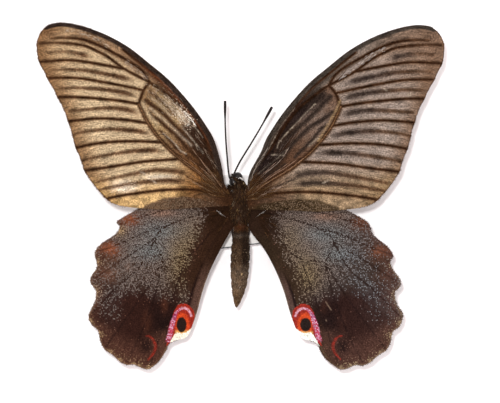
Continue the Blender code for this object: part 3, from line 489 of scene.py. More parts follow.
# Floor, light from all round, and one lamp high up, a little ahead and to the left; in metres
FLOOR_HALF = 3.0
FLOOR_COLOUR = (0.93, 0.93, 0.93, 1.0)
SKY_COLOUR = (1.0, 0.91, 0.91, 1.0)
SKY_STRENGTH = 1.2
LAMP_SIZE = 0.04
LAMP_POWER = 2.9
LAMP_PLACE = Vector((-0.034, 0.060, 0.70))
LAMP_AIM = Vector((0.0, 0.0, 0.012))

# The card and the line printed round it
CARD_TURN = math.radians(7.3)
CARD_LENGTH = 23.0
CARD_WIDTH = 14.5
CARD_REAR = -10.3
BORDER_INSET = 0.15
BORDER_WIDTH = 0.26

# Egg shapes that join the thorax to the head and the abdomen, and how fine the body's skin is
BODY_JOINS = [((-0.35, 5.4, 12.9), (1.5, 1.7, 1.9)), ((0.05, -5.2, 12.65), (1.5, 1.6, 1.8))]
SKIN_VOXEL = 0.14

# Coat: a hair is a three-sided spike of seven points, three at its sunk foot, three midway and a tip
UP = (0.0, 0.0, 1.0)
BODY_HAIRS = 26000
MARGIN_SCALES = 900
ROOT_DEPTH = 0.06
HAIR_FACES = [(0, 2, 1), (0, 1, 4), (0, 4, 3), (1, 2, 5), (1, 5, 4), (2, 0, 3), (2, 3, 5),
              (3, 4, 6), (4, 5, 6), (5, 3, 6)]
# Each hair is painted darker at its sunk foot and lighter at its tip, as painted shade within the coat and
# painted light on the tips
HAIR_PAINTED_SHADING = (0.75, 0.75, 0.75, 1.0, 1.0, 1.0, 1.2)
HAIR_PATCH = [(0.0, 0.0), (0.003, 0.0), (0.0015, 0.001), (0.0, 0.0015), (0.003, 0.0015),
              (0.0015, 0.002), (0.0015, 0.003)]
# Long hairs over the wing bases, fanning from a hub between two bearings in degrees
WING_HAIR = {
    "forewing": {"count": 1000, "bearings": (8.0, 62.0), "hub": (2.2, 2.2), "brightest": 1.1,
                 "gilt": 0.10, "pale": 0.03},
    "hindwing": {"count": 180, "bearings": (-62.0, -8.0), "hub": (2.0, 0.0), "brightest": 0.6,
                 "gilt": 0.02, "pale": 0.0},
}
# White scales behind the eye, and pale strands over the wing roots whose whiteness is a painted glint: line,
# lie, number, length and width
FRINGES = [
    ([(-1.0, 7.7, 14.3), (-0.5, 7.75, 14.25), (0.05, 7.4, 13.95)], (0.9, -0.25, -0.2), 200, 0.8, 0.05),
    ([(-6.4, -0.8, 14.0), (-4.9, -1.9, 13.9)], (0.8, -0.62, 0.0), 5, 2.2, 0.02),
    ([(6.9, -0.5, 14.1), (5.4, -1.7, 14.0)], (-0.78, -0.62, 0.0), 5, 2.0, 0.02),
]


def smooth_line(points, step):
    """Catmull-Rom curve through the points, read about every step, as an array."""
    points = np.array(points, float)
    line = []
    for index in range(len(points) - 1):
        before = points[max(index - 1, 0)]
        start = points[index]
        end = points[index + 1]
        after = points[min(index + 2, len(points) - 1)]
        count = max(1, round(float(np.linalg.norm(end - start)) / step))
        for part in range(count):
            t = part / count
            bend = 2 * before - 5 * start + 4 * end - after
            twist = 3 * start - before - 3 * end + after
            line.append(0.5 * (2 * start + (end - before) * t + bend * t ** 2 + twist * t ** 3))
    line.append(points[-1])
    return np.array(line)


def near_line(points, line):
    """Distance of each 2D point to a line, and how far along the line it lies, 0 to 1."""
    best = np.full(len(points), 1e9)
    along = np.zeros(len(points))
    pieces = np.linalg.norm(np.diff(line, axis=0), axis=1)
    starts = np.concatenate(([0.0], np.cumsum(pieces)))
    for index, length in enumerate(pieces):
        run = line[index + 1] - line[index]
        t = np.clip((points - line[index]) @ run / max(length ** 2, 1e-12), 0.0, 1.0)
        away = np.linalg.norm(points - line[index] - t[:, None] * run, axis=1)
        closer = away < best
        best[closer] = away[closer]
        along[closer] = (starts[index] + t[closer] * length) / starts[-1]
    return best, along


def beside(points, line, step=LINE_STEP):
    """Distance of each 2D point to the smooth curve through a line, and how far along it lies."""
    return near_line(points, smooth_line(line, step))


def vein_gap(points, veins):
    """Distance of each 2D point to the nearest vein."""
    return np.min([beside(points, vein)[0] for vein in veins.values()], axis=0)


def inside(points, loop):
    """Mask of the 2D points that lie inside a closed loop."""
    odd = np.zeros(len(points), bool)
    for a, b in zip(loop, np.roll(loop, -1, axis=0)):
        if a[1] == b[1]:
            continue
        crosses = (a[1] > points[:, 1]) != (b[1] > points[:, 1])
        x = a[0] + (points[:, 1] - a[1]) / (b[1] - a[1]) * (b[0] - a[0])
        odd ^= crosses & (points[:, 0] < x)
    return odd


def unit(vectors):
    """Vectors brought to a length of 1."""
    return vectors / np.maximum(np.linalg.norm(vectors, axis=1), 1e-9)[:, None]


def ease(value, low, high):
    """Smooth step from 0 at low to 1 at high."""
    t = np.clip((value - low) / (high - low), 0.0, 1.0)
    return t * t * (3.0 - 2.0 * t)


def fade(distance, reach, power=2):
    """Falls from 1 at no distance to about a third at the reach."""
    return np.exp(-(distance / reach) ** power)


def ellipse_at(points, centre, size):
    """Distance from a centre, counted in the ellipse's own half sizes."""
    return np.sqrt((((points - np.array(centre)) / np.array(size)) ** 2).sum(axis=1))


def bump_at(points, centre, size):
    """Soft round spot, 1 at its centre."""
    return np.exp(-(((points - np.array(centre)) / np.array(size)) ** 2).sum(axis=1))


def waves(points, scale, seed, count=5):
    """Smooth uneven field between about -1 and 1, made of sine waves."""
    draw = np.random.default_rng(seed)
    field = np.zeros(len(points))
    for _ in range(count):
        angle = draw.uniform(0.0, 2.0 * math.pi)
        pitch = scale * draw.uniform(0.7, 1.6)
        phase = draw.uniform(0.0, 2.0 * math.pi)
        field += np.sin((points[:, 0] * math.cos(angle) + points[:, 1] * math.sin(angle)) / pitch
                        * 2.0 * math.pi + phase)
    return field / count


class Paint:
    """Colours at the points of a surface, with others laid over them by an amount at each point."""

    def __init__(self, colour, count):
        self.colours = np.tile(np.array(colour), (count, 1))

    def blend(self, colour, amount):
        """Mix a colour in."""
        self.colours = self.colours + (np.array(colour) - self.colours) * np.clip(amount, 0.0, 1.0)[:, None]

    def stain(self, colour, amount):
        """Deepen towards a colour, as a dye would."""
        share = np.clip(amount, 0.0, 1.0)[:, None]
        self.colours = self.colours ** (1.0 - share) * np.array(colour) ** share

    def scale(self, factor):
        """Lighten or darken each point."""
        self.colours = self.colours * factor[:, None]


def fore_height(points):
    """Level of the forewing's middle surface."""
    x = points[:, 0]
    return FORE_LEVEL + WING_RISE * x - FORE_TIP_DROOP * np.maximum(0.0, x - 25.0) ** 2


def hind_height(points):
    """Level of the hindwing's middle surface, which folds down along the inner margin."""
    x, y = points[:, 0], points[:, 1]
    start, end = INNER_MARGIN
    run = (end - start) / np.linalg.norm(end - start)
    away = np.abs((points - start) @ np.array((run[1], -run[0])))
    fold = INNER_FOLD_DEPTH * fade(away, INNER_FOLD_WIDTH)
    fold *= np.clip((-y - 5.0) / 6.0, 0.0, 1.0)
    droop = HIND_REAR_DROOP * np.maximum(0.0, -y - 5.0) ** 2
    return HIND_LEVEL + WING_RISE * x - droop - fold


def placed(points, name):
    """Model x and y of points given in a wing's own axes."""
    across, forward = SETTING[name]
    x = across[0] * points[:, 0] + across[1] * points[:, 1] + across[2] + WING_CENTRE_X
    y = forward[0] * points[:, 0] + forward[1] * points[:, 1] + forward[2]
    if name == "forewing_right":
        pull = (1.0 - ease(points[:, 1], *ROOT_PULL_Y)) * (1.0 - ease(points[:, 0], *ROOT_PULL_X))
        x = x - ROOT_PULL * pull * ease(points[:, 0], 0.5, 3.5)
    return x, y


def set_colours(mesh, name, colours):
    """Colour at each vertex of a mesh."""
    layer = mesh.color_attributes.new(name, "FLOAT_COLOR", "POINT")
    full = np.ones((len(colours), 4), np.float32)
    full[:, :3] = np.clip(colours, 0.0, 1.0)
    layer.data.foreach_set("color", full.ravel())


def set_values(mesh, name, values, kind="FLOAT", field="value"):
    """Number, or vector where the kind says so, at each vertex of a mesh."""
    layer = mesh.attributes.new(name, kind, "POINT")
    layer.data.foreach_set(field, np.asarray(values, np.float32).ravel())


def vertex_points(mesh):
    """Places of a mesh's vertices, in millimetres."""
    places = np.zeros(len(mesh.vertices) * 3)
    mesh.vertices.foreach_get("co", places)
    return places.reshape(-1, 3) / MM


def mesh_of(name, verts, faces):
    """Mesh in metres from vertices in millimetres."""
    mesh = bpy.data.meshes.new(name)
    mesh.from_pydata((np.array(verts) * MM).tolist(), [], faces)
    return mesh


def mesh_from(form, name):
    """Mesh in metres from a bmesh in millimetres."""
    bmesh.ops.scale(form, vec=(MM, MM, MM), verts=form.verts)
    mesh = bpy.data.meshes.new(name)
    form.to_mesh(mesh)
    form.free()
    return mesh


def link(obj):
    """Object, once the scene holds it."""
    bpy.context.scene.collection.objects.link(obj)
    return obj


def add_piece(name, mesh, finish, slot, *replaced, smooth=True):
    """Object of one finish that rides on the body, in the place of the solids it replaces."""
    mesh.materials.append(finish)
    if smooth:
        mesh.shade_smooth()
    obj = link(bpy.data.objects.new(name, mesh))
    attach(obj, "root")
    if replaced:
        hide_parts(*replaced)
    return obj


def node_material(name, roughness, specular=0.3):
    """New material and its Principled shader."""
    made = bpy.data.materials.new(name)
    made.use_nodes = True
    shader = made.node_tree.nodes["Principled BSDF"]
    shader.inputs["Roughness"].default_value = roughness
    shader.inputs["Specular IOR Level"].default_value = specular
    return made, shader


def add(tree, kind, fed=None, **settings):
    """Shader node with its settings, and with inputs fed by sockets or plain values."""
    made = tree.nodes.new(kind)
    for key, value in settings.items():
        if key in made.inputs:
            made.inputs[key].default_value = value
        else:
            setattr(made, key, value)
    for key, source in (fed or {}).items():
        if isinstance(source, bpy.types.NodeSocket):
            tree.links.new(source, made.inputs[key])
        else:
            made.inputs[key].default_value = source
    return made


def attribute(tree, name, output="Color"):
    """What a mesh attribute gives."""
    return add(tree, "ShaderNodeAttribute", attribute_name=name).outputs[output]


def object_noise(tree, scale, detail):
    """Noise that stays in its place on the object."""
    place = add(tree, "ShaderNodeTexCoord").outputs["Object"]
    return add(tree, "ShaderNodeTexNoise", {"Vector": place}, Scale=scale, Detail=detail).outputs["Fac"]


def reckon(tree, operation, first, second):
    """One sum on two numbers."""
    return add(tree, "ShaderNodeMath", {0: first, 1: second}, operation=operation).outputs["Value"]


def spread_of(tree, source, low, high, swing):
    """Multiplier from 1 - swing to 1 + swing out of a noise between low and high."""
    ends = {"From Min": low, "From Max": high, "To Min": 1.0 - swing, "To Max": 1.0 + swing}
    return add(tree, "ShaderNodeMapRange", {"Value": source, **ends}).outputs["Result"]


def scaled(tree, colour, factor):
    """Colour times a number."""
    fed = {0: colour, "Scale": factor}
    return add(tree, "ShaderNodeVectorMath", fed, operation="SCALE").outputs["Vector"]


def mixed(tree, share, first, second):
    """Mix of two colours by the second one's share."""
    return add(tree, "ShaderNodeMix", {0: share, 6: first, 7: second}, data_type="RGBA").outputs[2]


def finish_off(tree, shader, colour, height, strength, depth):
    """Give the shader its colour and a bump of a given strength and depth."""
    relief = add(tree, "ShaderNodeBump", {"Height": height}, Strength=strength, Distance=depth)
    tree.links.new(relief.outputs["Normal"], shader.inputs["Normal"])
    tree.links.new(colour, shader.inputs["Base Color"])


def scale_material(name, grain, silk):
    """Wing scales: painted pigment broken into grains and silky strokes, with dusted pale scales."""
    made, shader = node_material(name, SCALE_ROUGHNESS, 0.0)
    tree = made.node_tree
    rough = object_noise(tree, GRAIN_SCALE, 2.0)
    colour = scaled(tree, attribute(tree, "pigment"), spread_of(tree, rough, 0.3, 0.7, grain))
    comb = attribute(tree, "comb", "Vector")
    strokes = add(tree, "ShaderNodeTexNoise", {"Vector": comb}, Scale=1.0, Detail=2.0).outputs["Fac"]
    colour = scaled(tree, colour, spread_of(tree, strokes, 0.3, 0.7, silk))

    place = add(tree, "ShaderNodeTexCoord").outputs["Object"]
    cells = add(tree, "ShaderNodeTexVoronoi", {"Vector": place}, voronoi_dimensions="2D",
                Scale=DOT_SCALE, Randomness=DOT_SCATTER)
    pick = add(tree, "ShaderNodeSeparateColor", {"Color": cells.outputs["Color"]})
    share = reckon(tree, "MULTIPLY", attribute(tree, "dust", "Fac"), DUST_GAIN)
    present = reckon(tree, "LESS_THAN", pick.outputs["Red"], share)
    dot = reckon(tree, "LESS_THAN", cells.outputs["Distance"], DOT_RADIUS)
    varied = scaled(tree, attribute(tree, "dust_tint"), spread_of(tree, pick.outputs["Green"], 0.0, 1.0, 0.5))
    colour = mixed(tree, reckon(tree, "MULTIPLY", present, dot), colour, varied)
    finish_off(tree, shader, colour, rough, 0.4, 0.00006)
    return made


def hair_material(name):
    """Hair and short scales: pigment from each tuft, with a soft sheen."""
    made, shader = node_material(name, 0.6, 0.03)
    made.node_tree.links.new(attribute(made.node_tree, "pigment"), shader.inputs["Base Color"])
    return made


def skin_material(name):
    """Body skin under the hair: pigment with fine scale-like grain."""
    made, shader = node_material(name, 0.7, 0.02)
    tree = made.node_tree
    rough = object_noise(tree, 3000.0, 3.0)
    colour = scaled(tree, attribute(tree, "pigment"), spread_of(tree, rough, 0.0, 1.0, 0.6))
    finish_off(tree, shader, colour, rough, 0.6, 0.0001)
    return made


def grain_material(name, dark, light, roughness, scale, metallic=0.0, bump=0.2, specular=0.4):
    """Plain finish that wanders between two colours, with a fine bump."""
    made, shader = node_material(name, roughness, specular)
    shader.inputs["Metallic"].default_value = metallic
    tree = made.node_tree
    rough = object_noise(tree, scale, 4.0)
    finish_off(tree, shader, mixed(tree, rough, (*dark, 1.0), (*light, 1.0)), rough, bump, 0.00005)
    return made


def inward_of(loop):
    """Unit normals of a clockwise outline that point into it."""
    run = unit(np.roll(loop, -1, axis=0) - np.roll(loop, 1, axis=0))
    return np.stack((run[:, 1], -run[:, 0]), axis=1)


def wing_outline(name):
    """A wing's outline with its own nicks, drawn in a little between the forewing's veins, and ragged."""
    wing, side = name.split("_")
    edge = FORE_EDGE if wing == "forewing" else [NICKS[side].get(point, point) for point in HIND_EDGE]
    loop = smooth_line(edge, RIM_SPACING)[:-1]
    depth = RIM_WEAR * np.random.default_rng(len(name)).random(len(loop))
    if wing == "forewing":
        ends = np.array([vein[-1] for vein in FORE_VEINS.values()])
        gap = np.min(np.linalg.norm(loop[:, None] - ends[None], axis=2), axis=1)
        termen, _ = beside(loop, FORE_TERMEN)
        depth += SCALLOP_DEPTH * ease(gap, 0.6, 2.0) * (1.0 - ease(termen, 0.1, 0.6))
    return loop + inward_of(loop) * depth[:, None]


def wing_net(loop):
    """Places and triangles of an even net that fills an outline."""
    low = loop.min(axis=0)
    high = loop.max(axis=0)
    rows = int((high[1] - low[1]) / (WING_SPACING * ROW_SPACING)) + 1
    columns = int((high[0] - low[0]) / WING_SPACING) + 1
    row, column = np.mgrid[0:rows, 0:columns]
    grid = np.stack((low[0] + (column + 0.5 * (row % 2)) * WING_SPACING,
                     low[1] + row * WING_SPACING * ROW_SPACING), axis=-1).reshape(-1, 2)
    grid = grid[inside(grid, loop)]
    grid = grid[near_line(grid, np.vstack((loop, loop[:1])))[0] > 0.6 * WING_SPACING]
    points = [Vector(point) for point in np.vstack((loop, grid))]
    net = delaunay_2d_cdt(points, [], [list(range(len(loop)))], 1, 1e-6)
    return np.array([tuple(point) for point in net[0]]), np.array([tuple(face) for face in net[2]])


def make_wing(name, finish):
    """Wing as a closed thin sheet, with relief and paint worked out at every vertex."""
    wing = name.split("_")[0]
    height, relief_at, paint_at = WINGS[wing]
    loop = wing_outline(name)
    flat, face = wing_net(loop)
    x, y = placed(flat, name)
    middle = height(flat)
    rim_gap = near_line(flat, np.vstack((loop, loop[:1])))[0]
    thickness = WING_THICKNESS * (0.45 + 0.55 * ease(rim_gap, 0.0, 0.5))
    relief, ridge = relief_at(flat, name)
    upper = np.stack((x, y, middle + relief + ridge + thickness / 2), axis=1)
    lower = np.stack((x, y, middle + relief - ridge - thickness / 2), axis=1)
    count = len(flat)
    if SETTING[name][0][0] < 0.0:
        face = face[:, ::-1]
    edges = dict.fromkeys(map(tuple, face[:, [[0, 1], [1, 2], [2, 0]]].reshape(-1, 2).tolist()))
    sides = [(b, a, a + count, b + count) for a, b in edges if (b, a) not in edges]
    faces = face.tolist() + (face[:, ::-1] + count).tolist() + sides
    mesh = mesh_of(name + "_scales", np.vstack((upper, lower)), faces)
    pigment, dust, dust_tint = paint_at(flat, name)
    comb = combed(flat, name)
    set_colours(mesh, "pigment", np.vstack((pigment, pigment * 0.9)))
    set_values(mesh, "dust", np.concatenate((dust, dust * 0.5)))
    set_colours(mesh, "dust_tint", np.vstack((dust_tint, dust_tint)))
    set_values(mesh, "comb", np.vstack((comb, comb)), "FLOAT_VECTOR", "vector")
    add_piece(name + "_scales", mesh, finish, wing, name)
    mesh.set_sharp_from_angle(angle=SHARP_ANGLE)


def fore_relief(points, name):
    """Pleats and veins of the forewing."""
    gap = vein_gap(points, FORE_VEINS)
    ridge = VEIN_HEIGHT * fade(gap, VEIN_WIDTH)
    ridge += COSTA_HEIGHT * fade(beside(points, FORE_COSTA)[0], COSTA_WIDTH)
    pleat = -PLEAT_DEPTH * (1.0 - fade(gap, 1.1))
    for streak in FORE_STREAKS + [line for _, _, line in FORE_DARK_LINES[name.split("_")[1]]]:
        pleat += STREAK_HEIGHT * fade(beside(points, streak)[0], STREAK_WIDTH)
    return pleat + 0.05 * waves(points, 6.0, 3), ridge


def hind_relief(points, name):
    """Pleats and veins of the hindwing, and the puckers of its margin."""
    gap = vein_gap(points, HIND_VEINS)
    ridge = 0.8 * VEIN_HEIGHT * fade(gap, VEIN_WIDTH)
    pleat = -1.3 * PLEAT_DEPTH * (1.0 - fade(gap, 1.4))
    return pleat + 0.08 * waves(points, 7.0, 11), ridge


def combed(points, name):
    """Coordinates across and along the lie of the scales, counted in strokes."""
    if name.startswith("forewing"):
        lines = [FORE_VEINS[vein] for vein in ("subcosta", "radius_upper", "radius")]
        below = ("radius_lower", "media_1", "media_2", "media_3", "cubitus_1", "cubitus_2", "anal")
        for streak, vein in zip(FORE_STREAKS, below):
            lines += [streak, FORE_VEINS[vein]]
        lines.append(FORE_EDGE[28:])
    else:
        veins = ("subcosta", "radius", "media_1", "media_2", "media_3", "cubitus_1", "cubitus_2", "anal")
        lines = [HIND_EDGE[:8], *(HIND_VEINS[vein] for vein in veins), HIND_EDGE[36:]]
    total = np.zeros(len(points))
    weight = np.zeros(len(points))
    for index, line in enumerate(lines):
        share = 1.0 / (beside(points, line, 2.0 * LINE_STEP)[0] + 0.3) ** 3
        total += share * index
        weight += share
    across = total / weight * 2.4 / STROKE_WIDTH
    along = np.linalg.norm(points - np.array((2.0, 2.0)), axis=1) / STROKE_LENGTH
    return np.stack((across, along, np.zeros(len(points))), axis=1)


def fore_ground(paint, points, side, uneven, fine):
    """Pale ground of the forewing: brown at its edges and root, golden behind, dark in the cell."""
    look = FORE_LOOKS[side]
    x, y = points[:, 0], points[:, 1]
    out = x + y
    from_root = np.linalg.norm(points - np.array(FORE_HUB), axis=1)
    termen, _ = beside(points, FORE_TERMEN)
    costa, _ = beside(points, FORE_COSTA)
    paint.stain(look["edge"], 0.85 * fade(termen, look["edge_reach"]) + look["apex"] * ease(out, 70.0, 90.0))
    paint.blend(look["gold"], 0.75 * ease(-y, *look["gold_from"]) * ease(x, 8.0, 16.0))
    cell_end = smooth_line(FORE_VEINS["cell_end"], LINE_STEP)
    cell_loop = np.vstack((smooth_line(FORE_VEINS["radius"][:6], LINE_STEP), cell_end,
                           smooth_line(FORE_VEINS["cubitus"], LINE_STEP)[::-1]))
    in_cell = inside(points, cell_loop).astype(float)
    paint.blend(look["cell"], 0.85 * in_cell * (0.8 + 0.3 * fine))
    paint.stain(CELL_BROWN, 0.25 * in_cell * (1.0 - ease(near_line(points, cell_end)[0], 1.0, 6.0)))
    paint.stain(CELL_BROWN, 0.65 * in_cell * (1.0 - ease(from_root, 13.0, 27.0)))
    above_cell = (1.0 - ease(costa, 2.0, 3.8)) * (1.0 - ease(out, 50.0, 72.0))
    paint.stain(look["cell_brown"], 0.9 * above_cell)
    below_costa = (1.0 - ease(costa, 1.6, 5.0)) * ease(out, 52.0, 66.0) * (1.0 - 0.6 * ease(out, 84.0, 92.0))
    paint.stain(look["cell_brown"], look["below_costa"] * below_costa)
    near_base = 1.0 - ease(from_root - 0.2 * (y - x) + 0.8 * uneven, *look["base_reach"])
    paint.stain(look["base"], 0.95 * near_base)
    paint.stain(CELL_DARK, 0.9 * fade(beside(points, FORE_SHADE)[0], 2.6, 4))


def fore_lines(paint, points, side, fine, painted_shine, draw):
    """Streaks, dark lines, veins and pale lines of the forewing, all with feathered edges, and painted shade
    and light of the pleats beside the veins.
    """
    look = FORE_LOOKS[side]
    out = points[:, 0] + points[:, 1]
    feather = draw.normal(0.0, 0.12, len(points))
    inner_tint = np.array(look["streak"])
    strongest, widest, narrowing = look["streak_size"]
    for streak in FORE_STREAKS:
        away, along = beside(points, streak)
        strength = (strongest - 0.36 * along) * (0.15 + 0.85 * ease(along, 0.0, 0.16))
        body = strength * fade(np.maximum(away + feather, 0.0), widest - narrowing * along, 2.2)
        body *= (1.0 + 0.2 * fine) * (1.0 - 0.4 * ease(out, 78.0, 84.0))
        tint = inner_tint + (np.array(STREAK_BROWN) - inner_tint) * ease(along, 0.25, 0.8)[:, None]
        paint.stain(tint, body)
    dark = np.zeros(len(points))
    for strength, width, line in FORE_DARK_LINES[side]:
        away, _ = beside(points, line)
        body = strength * fade(np.maximum(away + feather, 0.0), width, 2.4)
        dark = np.maximum(dark, body * (1.0 + 0.15 * fine))
    paint.stain(inner_tint, dark * (1.0 - 0.55 * painted_shine))
    if side == "right":
        away, along = beside(points, FORE_DARK_LINES[side][0][2])
        band = fade(away, 1.9, 4) * (1.0 - 0.8 * ease(along, 0.62, 1.0))
        paint.stain(CELL_BLACK, 0.95 * band)

    vein_dark = np.zeros(len(points))
    for vein_name, vein in FORE_VEINS.items():
        away, _ = beside(points, vein)
        width = 0.52 if vein_name == "cubitus" else 0.38
        vein_dark = np.maximum(vein_dark, fade(np.maximum(away + 0.4 * feather, 0.0), width))
        # The faint wide brown halo beside each vein is painted shade of the pleats
        vein_dark = np.maximum(vein_dark, 0.15 * fade(away, 0.85))
    vein_dark *= (1.0 - 0.8 * painted_shine) * (1.0 - 0.45 * ease(out, 84.0, 93.0))
    paint.stain(VEIN_BROWN, look["vein"] * vein_dark)
    # Painted light: a paler band about a millimetre from each vein, on the crests of the pleats
    paint.scale(1.0 + 0.14 * fade(vein_gap(points, FORE_VEINS) - 0.95, 0.32))
    paint.blend(CORE_GOLD, 0.75 * fade(beside(points, FORE_VEINS["cubitus"], 0.4)[0], 0.13))
    for colour, strength, width, line in FORE_PALE_LINES[side]:
        away, _ = beside(points, line, 0.4)
        lit = strength * fade(np.maximum(away + 0.6 * feather, 0.0), look["pale_width"] * width)
        paint.blend(colour, lit * (0.85 + 0.6 * fine) * draw.uniform(0.6, 1.2, len(points)))


def fore_borders(paint, points, side, fine):
    """Red line and dark band of the costa, dark margin and root, and painted shade where the hindwing lies
    behind.
    """
    look = FORE_LOOKS[side]
    x, y = points[:, 0], points[:, 1]
    from_root = np.linalg.norm(points - np.array(FORE_HUB), axis=1)
    subcosta, _ = beside(points, FORE_VEINS["subcosta"])
    red = fade(subcosta - 0.3, 0.34) * ease(from_root, 8.0, 14.0) * look["red"]
    paint.blend(COSTA_RED, 0.8 * red * (1.0 - ease(x + y, 54.0, 68.0)))
    costa, along = beside(points, FORE_COSTA)
    costa_reach = 1.9 - 0.8 * along
    paint.stain(look["costa"], 0.97 * (1.0 - ease(costa, 0.7 * costa_reach, 1.05 * costa_reach)))
    paint.stain(VEIN_BROWN, 0.5 * (1.0 - ease(beside(points, FORE_TERMEN)[0], 0.15, 0.45)))
    # Painted shade on the part of the forewing that lies over the hindwing, fading in from the hindwing's
    # front edge
    over = inside(points, smooth_line(HIND_EDGE, RIM_STEP)).astype(float)
    rim, _ = beside(points, HIND_EDGE[:9], RIM_STEP)
    over *= ease(rim + 0.2 * fine, 0.0, 0.9) * ease(x, 1.0, 4.0)
    paint.stain(look["over"], (0.94 - 0.2 * ease(x, 15.0, 22.0)) * over)
    # The same painted shade along the strip at and just ahead of the hindwing's front edge, near the root
    below_anal = ease(-y, -4.3, -3.2) * (1.0 - ease(x, 8.0, 16.0)) * ease(x, 2.0, 5.0)
    paint.stain(OVERLAP_SHADE_BROWN, 0.75 * below_anal * (1.0 - over))
    paint.stain(BASE_BROWN, 0.95 * (1.0 - ease(from_root, 1.5, 5.5)))
    return over


def paint_forewing(points, name):
    """Forewing pigment: pale spaces between dark veins and streaks, a dark costa and base, with painted
    shine, glare and shade laid over it.
    """
    side = name.split("_")[1]
    draw = np.random.default_rng(SEED)
    uneven = waves(points, 9.0, 31)
    fine = waves(points, 1.6, 33, 9)
    paint = Paint(FORE_LOOKS[side]["ground"], len(points))
    fore_ground(paint, points, side, uneven, fine)
    # Painted shine: a pale glow with pale dots over the left forewing's cell; the right forewing has none
    shine_gap, along = beside(points, FORE_PAINTED_SHINE)
    painted_shine = fade(shine_gap, 1.9, 3) * (0.25 + 0.75 * ease(along, 0.1, 0.8))
    painted_shine *= 1.0 if side == "left" else 0.0
    paint.blend(PEARL, 0.12 * painted_shine * (1.0 + 0.8 * fine))
    if side == "left":
        # Painted highlight: two pale patches of glare on the left forewing, near its rear margin
        sheen = bump_at(points, (30.1, 5.2), (3.0, 1.5)) + 0.8 * bump_at(points, (20.9, 7.6), (3.2, 0.7))
        paint.blend(PAINTED_SHEEN, 0.8 * sheen * (0.8 + 0.5 * fine))
    fore_lines(paint, points, side, fine, painted_shine, draw)
    over = fore_borders(paint, points, side, fine)
    paint.scale((1.0 + 0.12 * uneven) * draw.uniform(0.72, 1.30, len(points)))
    # Pale dots dusted over the painted shine of the left cell and over the painted shade where the hindwing
    # lies behind
    dust = 0.20 * painted_shine + 0.34 * over * ease(points[:, 0], 4.0, 12.0) * (0.85 + 0.4 * fine)
    tint = Paint(OVERLAP_SHADE_DUST, len(points))
    tint.blend(np.array(PEARL) * 1.9, 2.0 * painted_shine)
    return paint.colours, dust, tint.colours


def hind_ground(paint, points, side, uneven, fine):
    """Dark ground of the hindwing, its margins, and its rust patches; gives back how far each reaches."""
    look = HIND_LOOKS[side]
    x, y = points[:, 0], points[:, 1]
    end = ease(-y + 0.10 * x + 1.2 * uneven, 20.0, 27.0) * ease(x + 0.42 * y, -1.5, 1.5)
    paint.blend(HIND_MAROON, end)
    paint.blend(HIND_BLACK, 0.85 * bump_at(points, (20.5, -30.0), (4.5, 7.5)))
    termen, _ = beside(points, HIND_TERMEN, RIM_STEP)
    margin = fade(termen, look["margin"] + 4.2 * ease(-y, 29.0, 36.0)) * ease(x, 17.0, 20.0)
    paint.blend(HIND_EDGE_BROWN, 0.9 * margin)
    paint.blend(NOTCH_OCHRE, 0.35 * (1.0 - ease(termen, 0.15, 0.55)) * (0.6 + 0.6 * fine))
    inner, _ = beside(points, HIND_EDGE[36:43], RIM_STEP)
    rear = ease(-y, 12.0, 22.0)
    fold_at, fold_reach, crease_at = look["fold"]
    paint.blend(HIND_FOLD_BROWN, 0.9 * rear * fade(inner - fold_at, fold_reach, 4))
    paint.blend(HIND_BLACK, 0.8 * rear * fade(inner - crease_at, 0.32))
    paint.blend(HIND_RIM_PALE, 0.8 * rear * fade(inner, 0.3) * (0.8 + 0.5 * fine))
    for centre, size, strength in RUST_PATCHES:
        patch = bump_at(points, centre, size) * look["rust"]
        paint.blend(RUST, strength * patch * (0.75 + 0.45 * fine))
    for centre, size, strength in look["pale_patches"]:
        paint.blend(PATCH_PALE, strength * bump_at(points, centre, size) * (0.7 + 0.8 * fine))
    return end, margin, inner, rear


def hind_cover(points, name, uneven, fine, vein_dark):
    """How densely the hindwing is dusted, and how far the outer dust reaches."""
    look = HIND_LOOKS[name.split("_")[1]]
    x, y = points[:, 0], points[:, 1]
    limit = np.interp(x, *zip(*look["dust_limit"]))
    start = look["dust_start"]
    disc = ease(-y + 0.35 * x, 2.0, 5.5) * ease(y - limit + 0.9 * uneven + 0.5 * fine, -2.2, 3.2)
    disc *= ease(x + 0.40 * y + 0.8 * uneven, start - 1.0, start + 6.0)
    disc *= 1.0 - 0.75 * ease(x - 0.1 * y + 1.5 * uneven, 31.5, 36.5) * (1.0 - 0.6 * ease(-y, 15.0, 21.0))
    outer = bump_at(points, *look["outer_dust"])
    tail = bump_at(points, (15.0, -22.5), look["tail_dust"])
    cover = np.maximum(disc, np.maximum(look["outer_share"] * outer, 0.7 * tail))
    for centre, size, strength in RUST_PATCHES[:3]:
        cover = cover * (1.0 - 0.6 * strength * bump_at(points, centre, size))
    striped = np.sin(1.5 * combed(points, name)[:, 0] + 1.5 * uneven) * ease(-y, 8.0, 14.0)
    return cover * ((1.0 - 0.6 * vein_dark) * (1.0 + 0.22 * striped)), outer


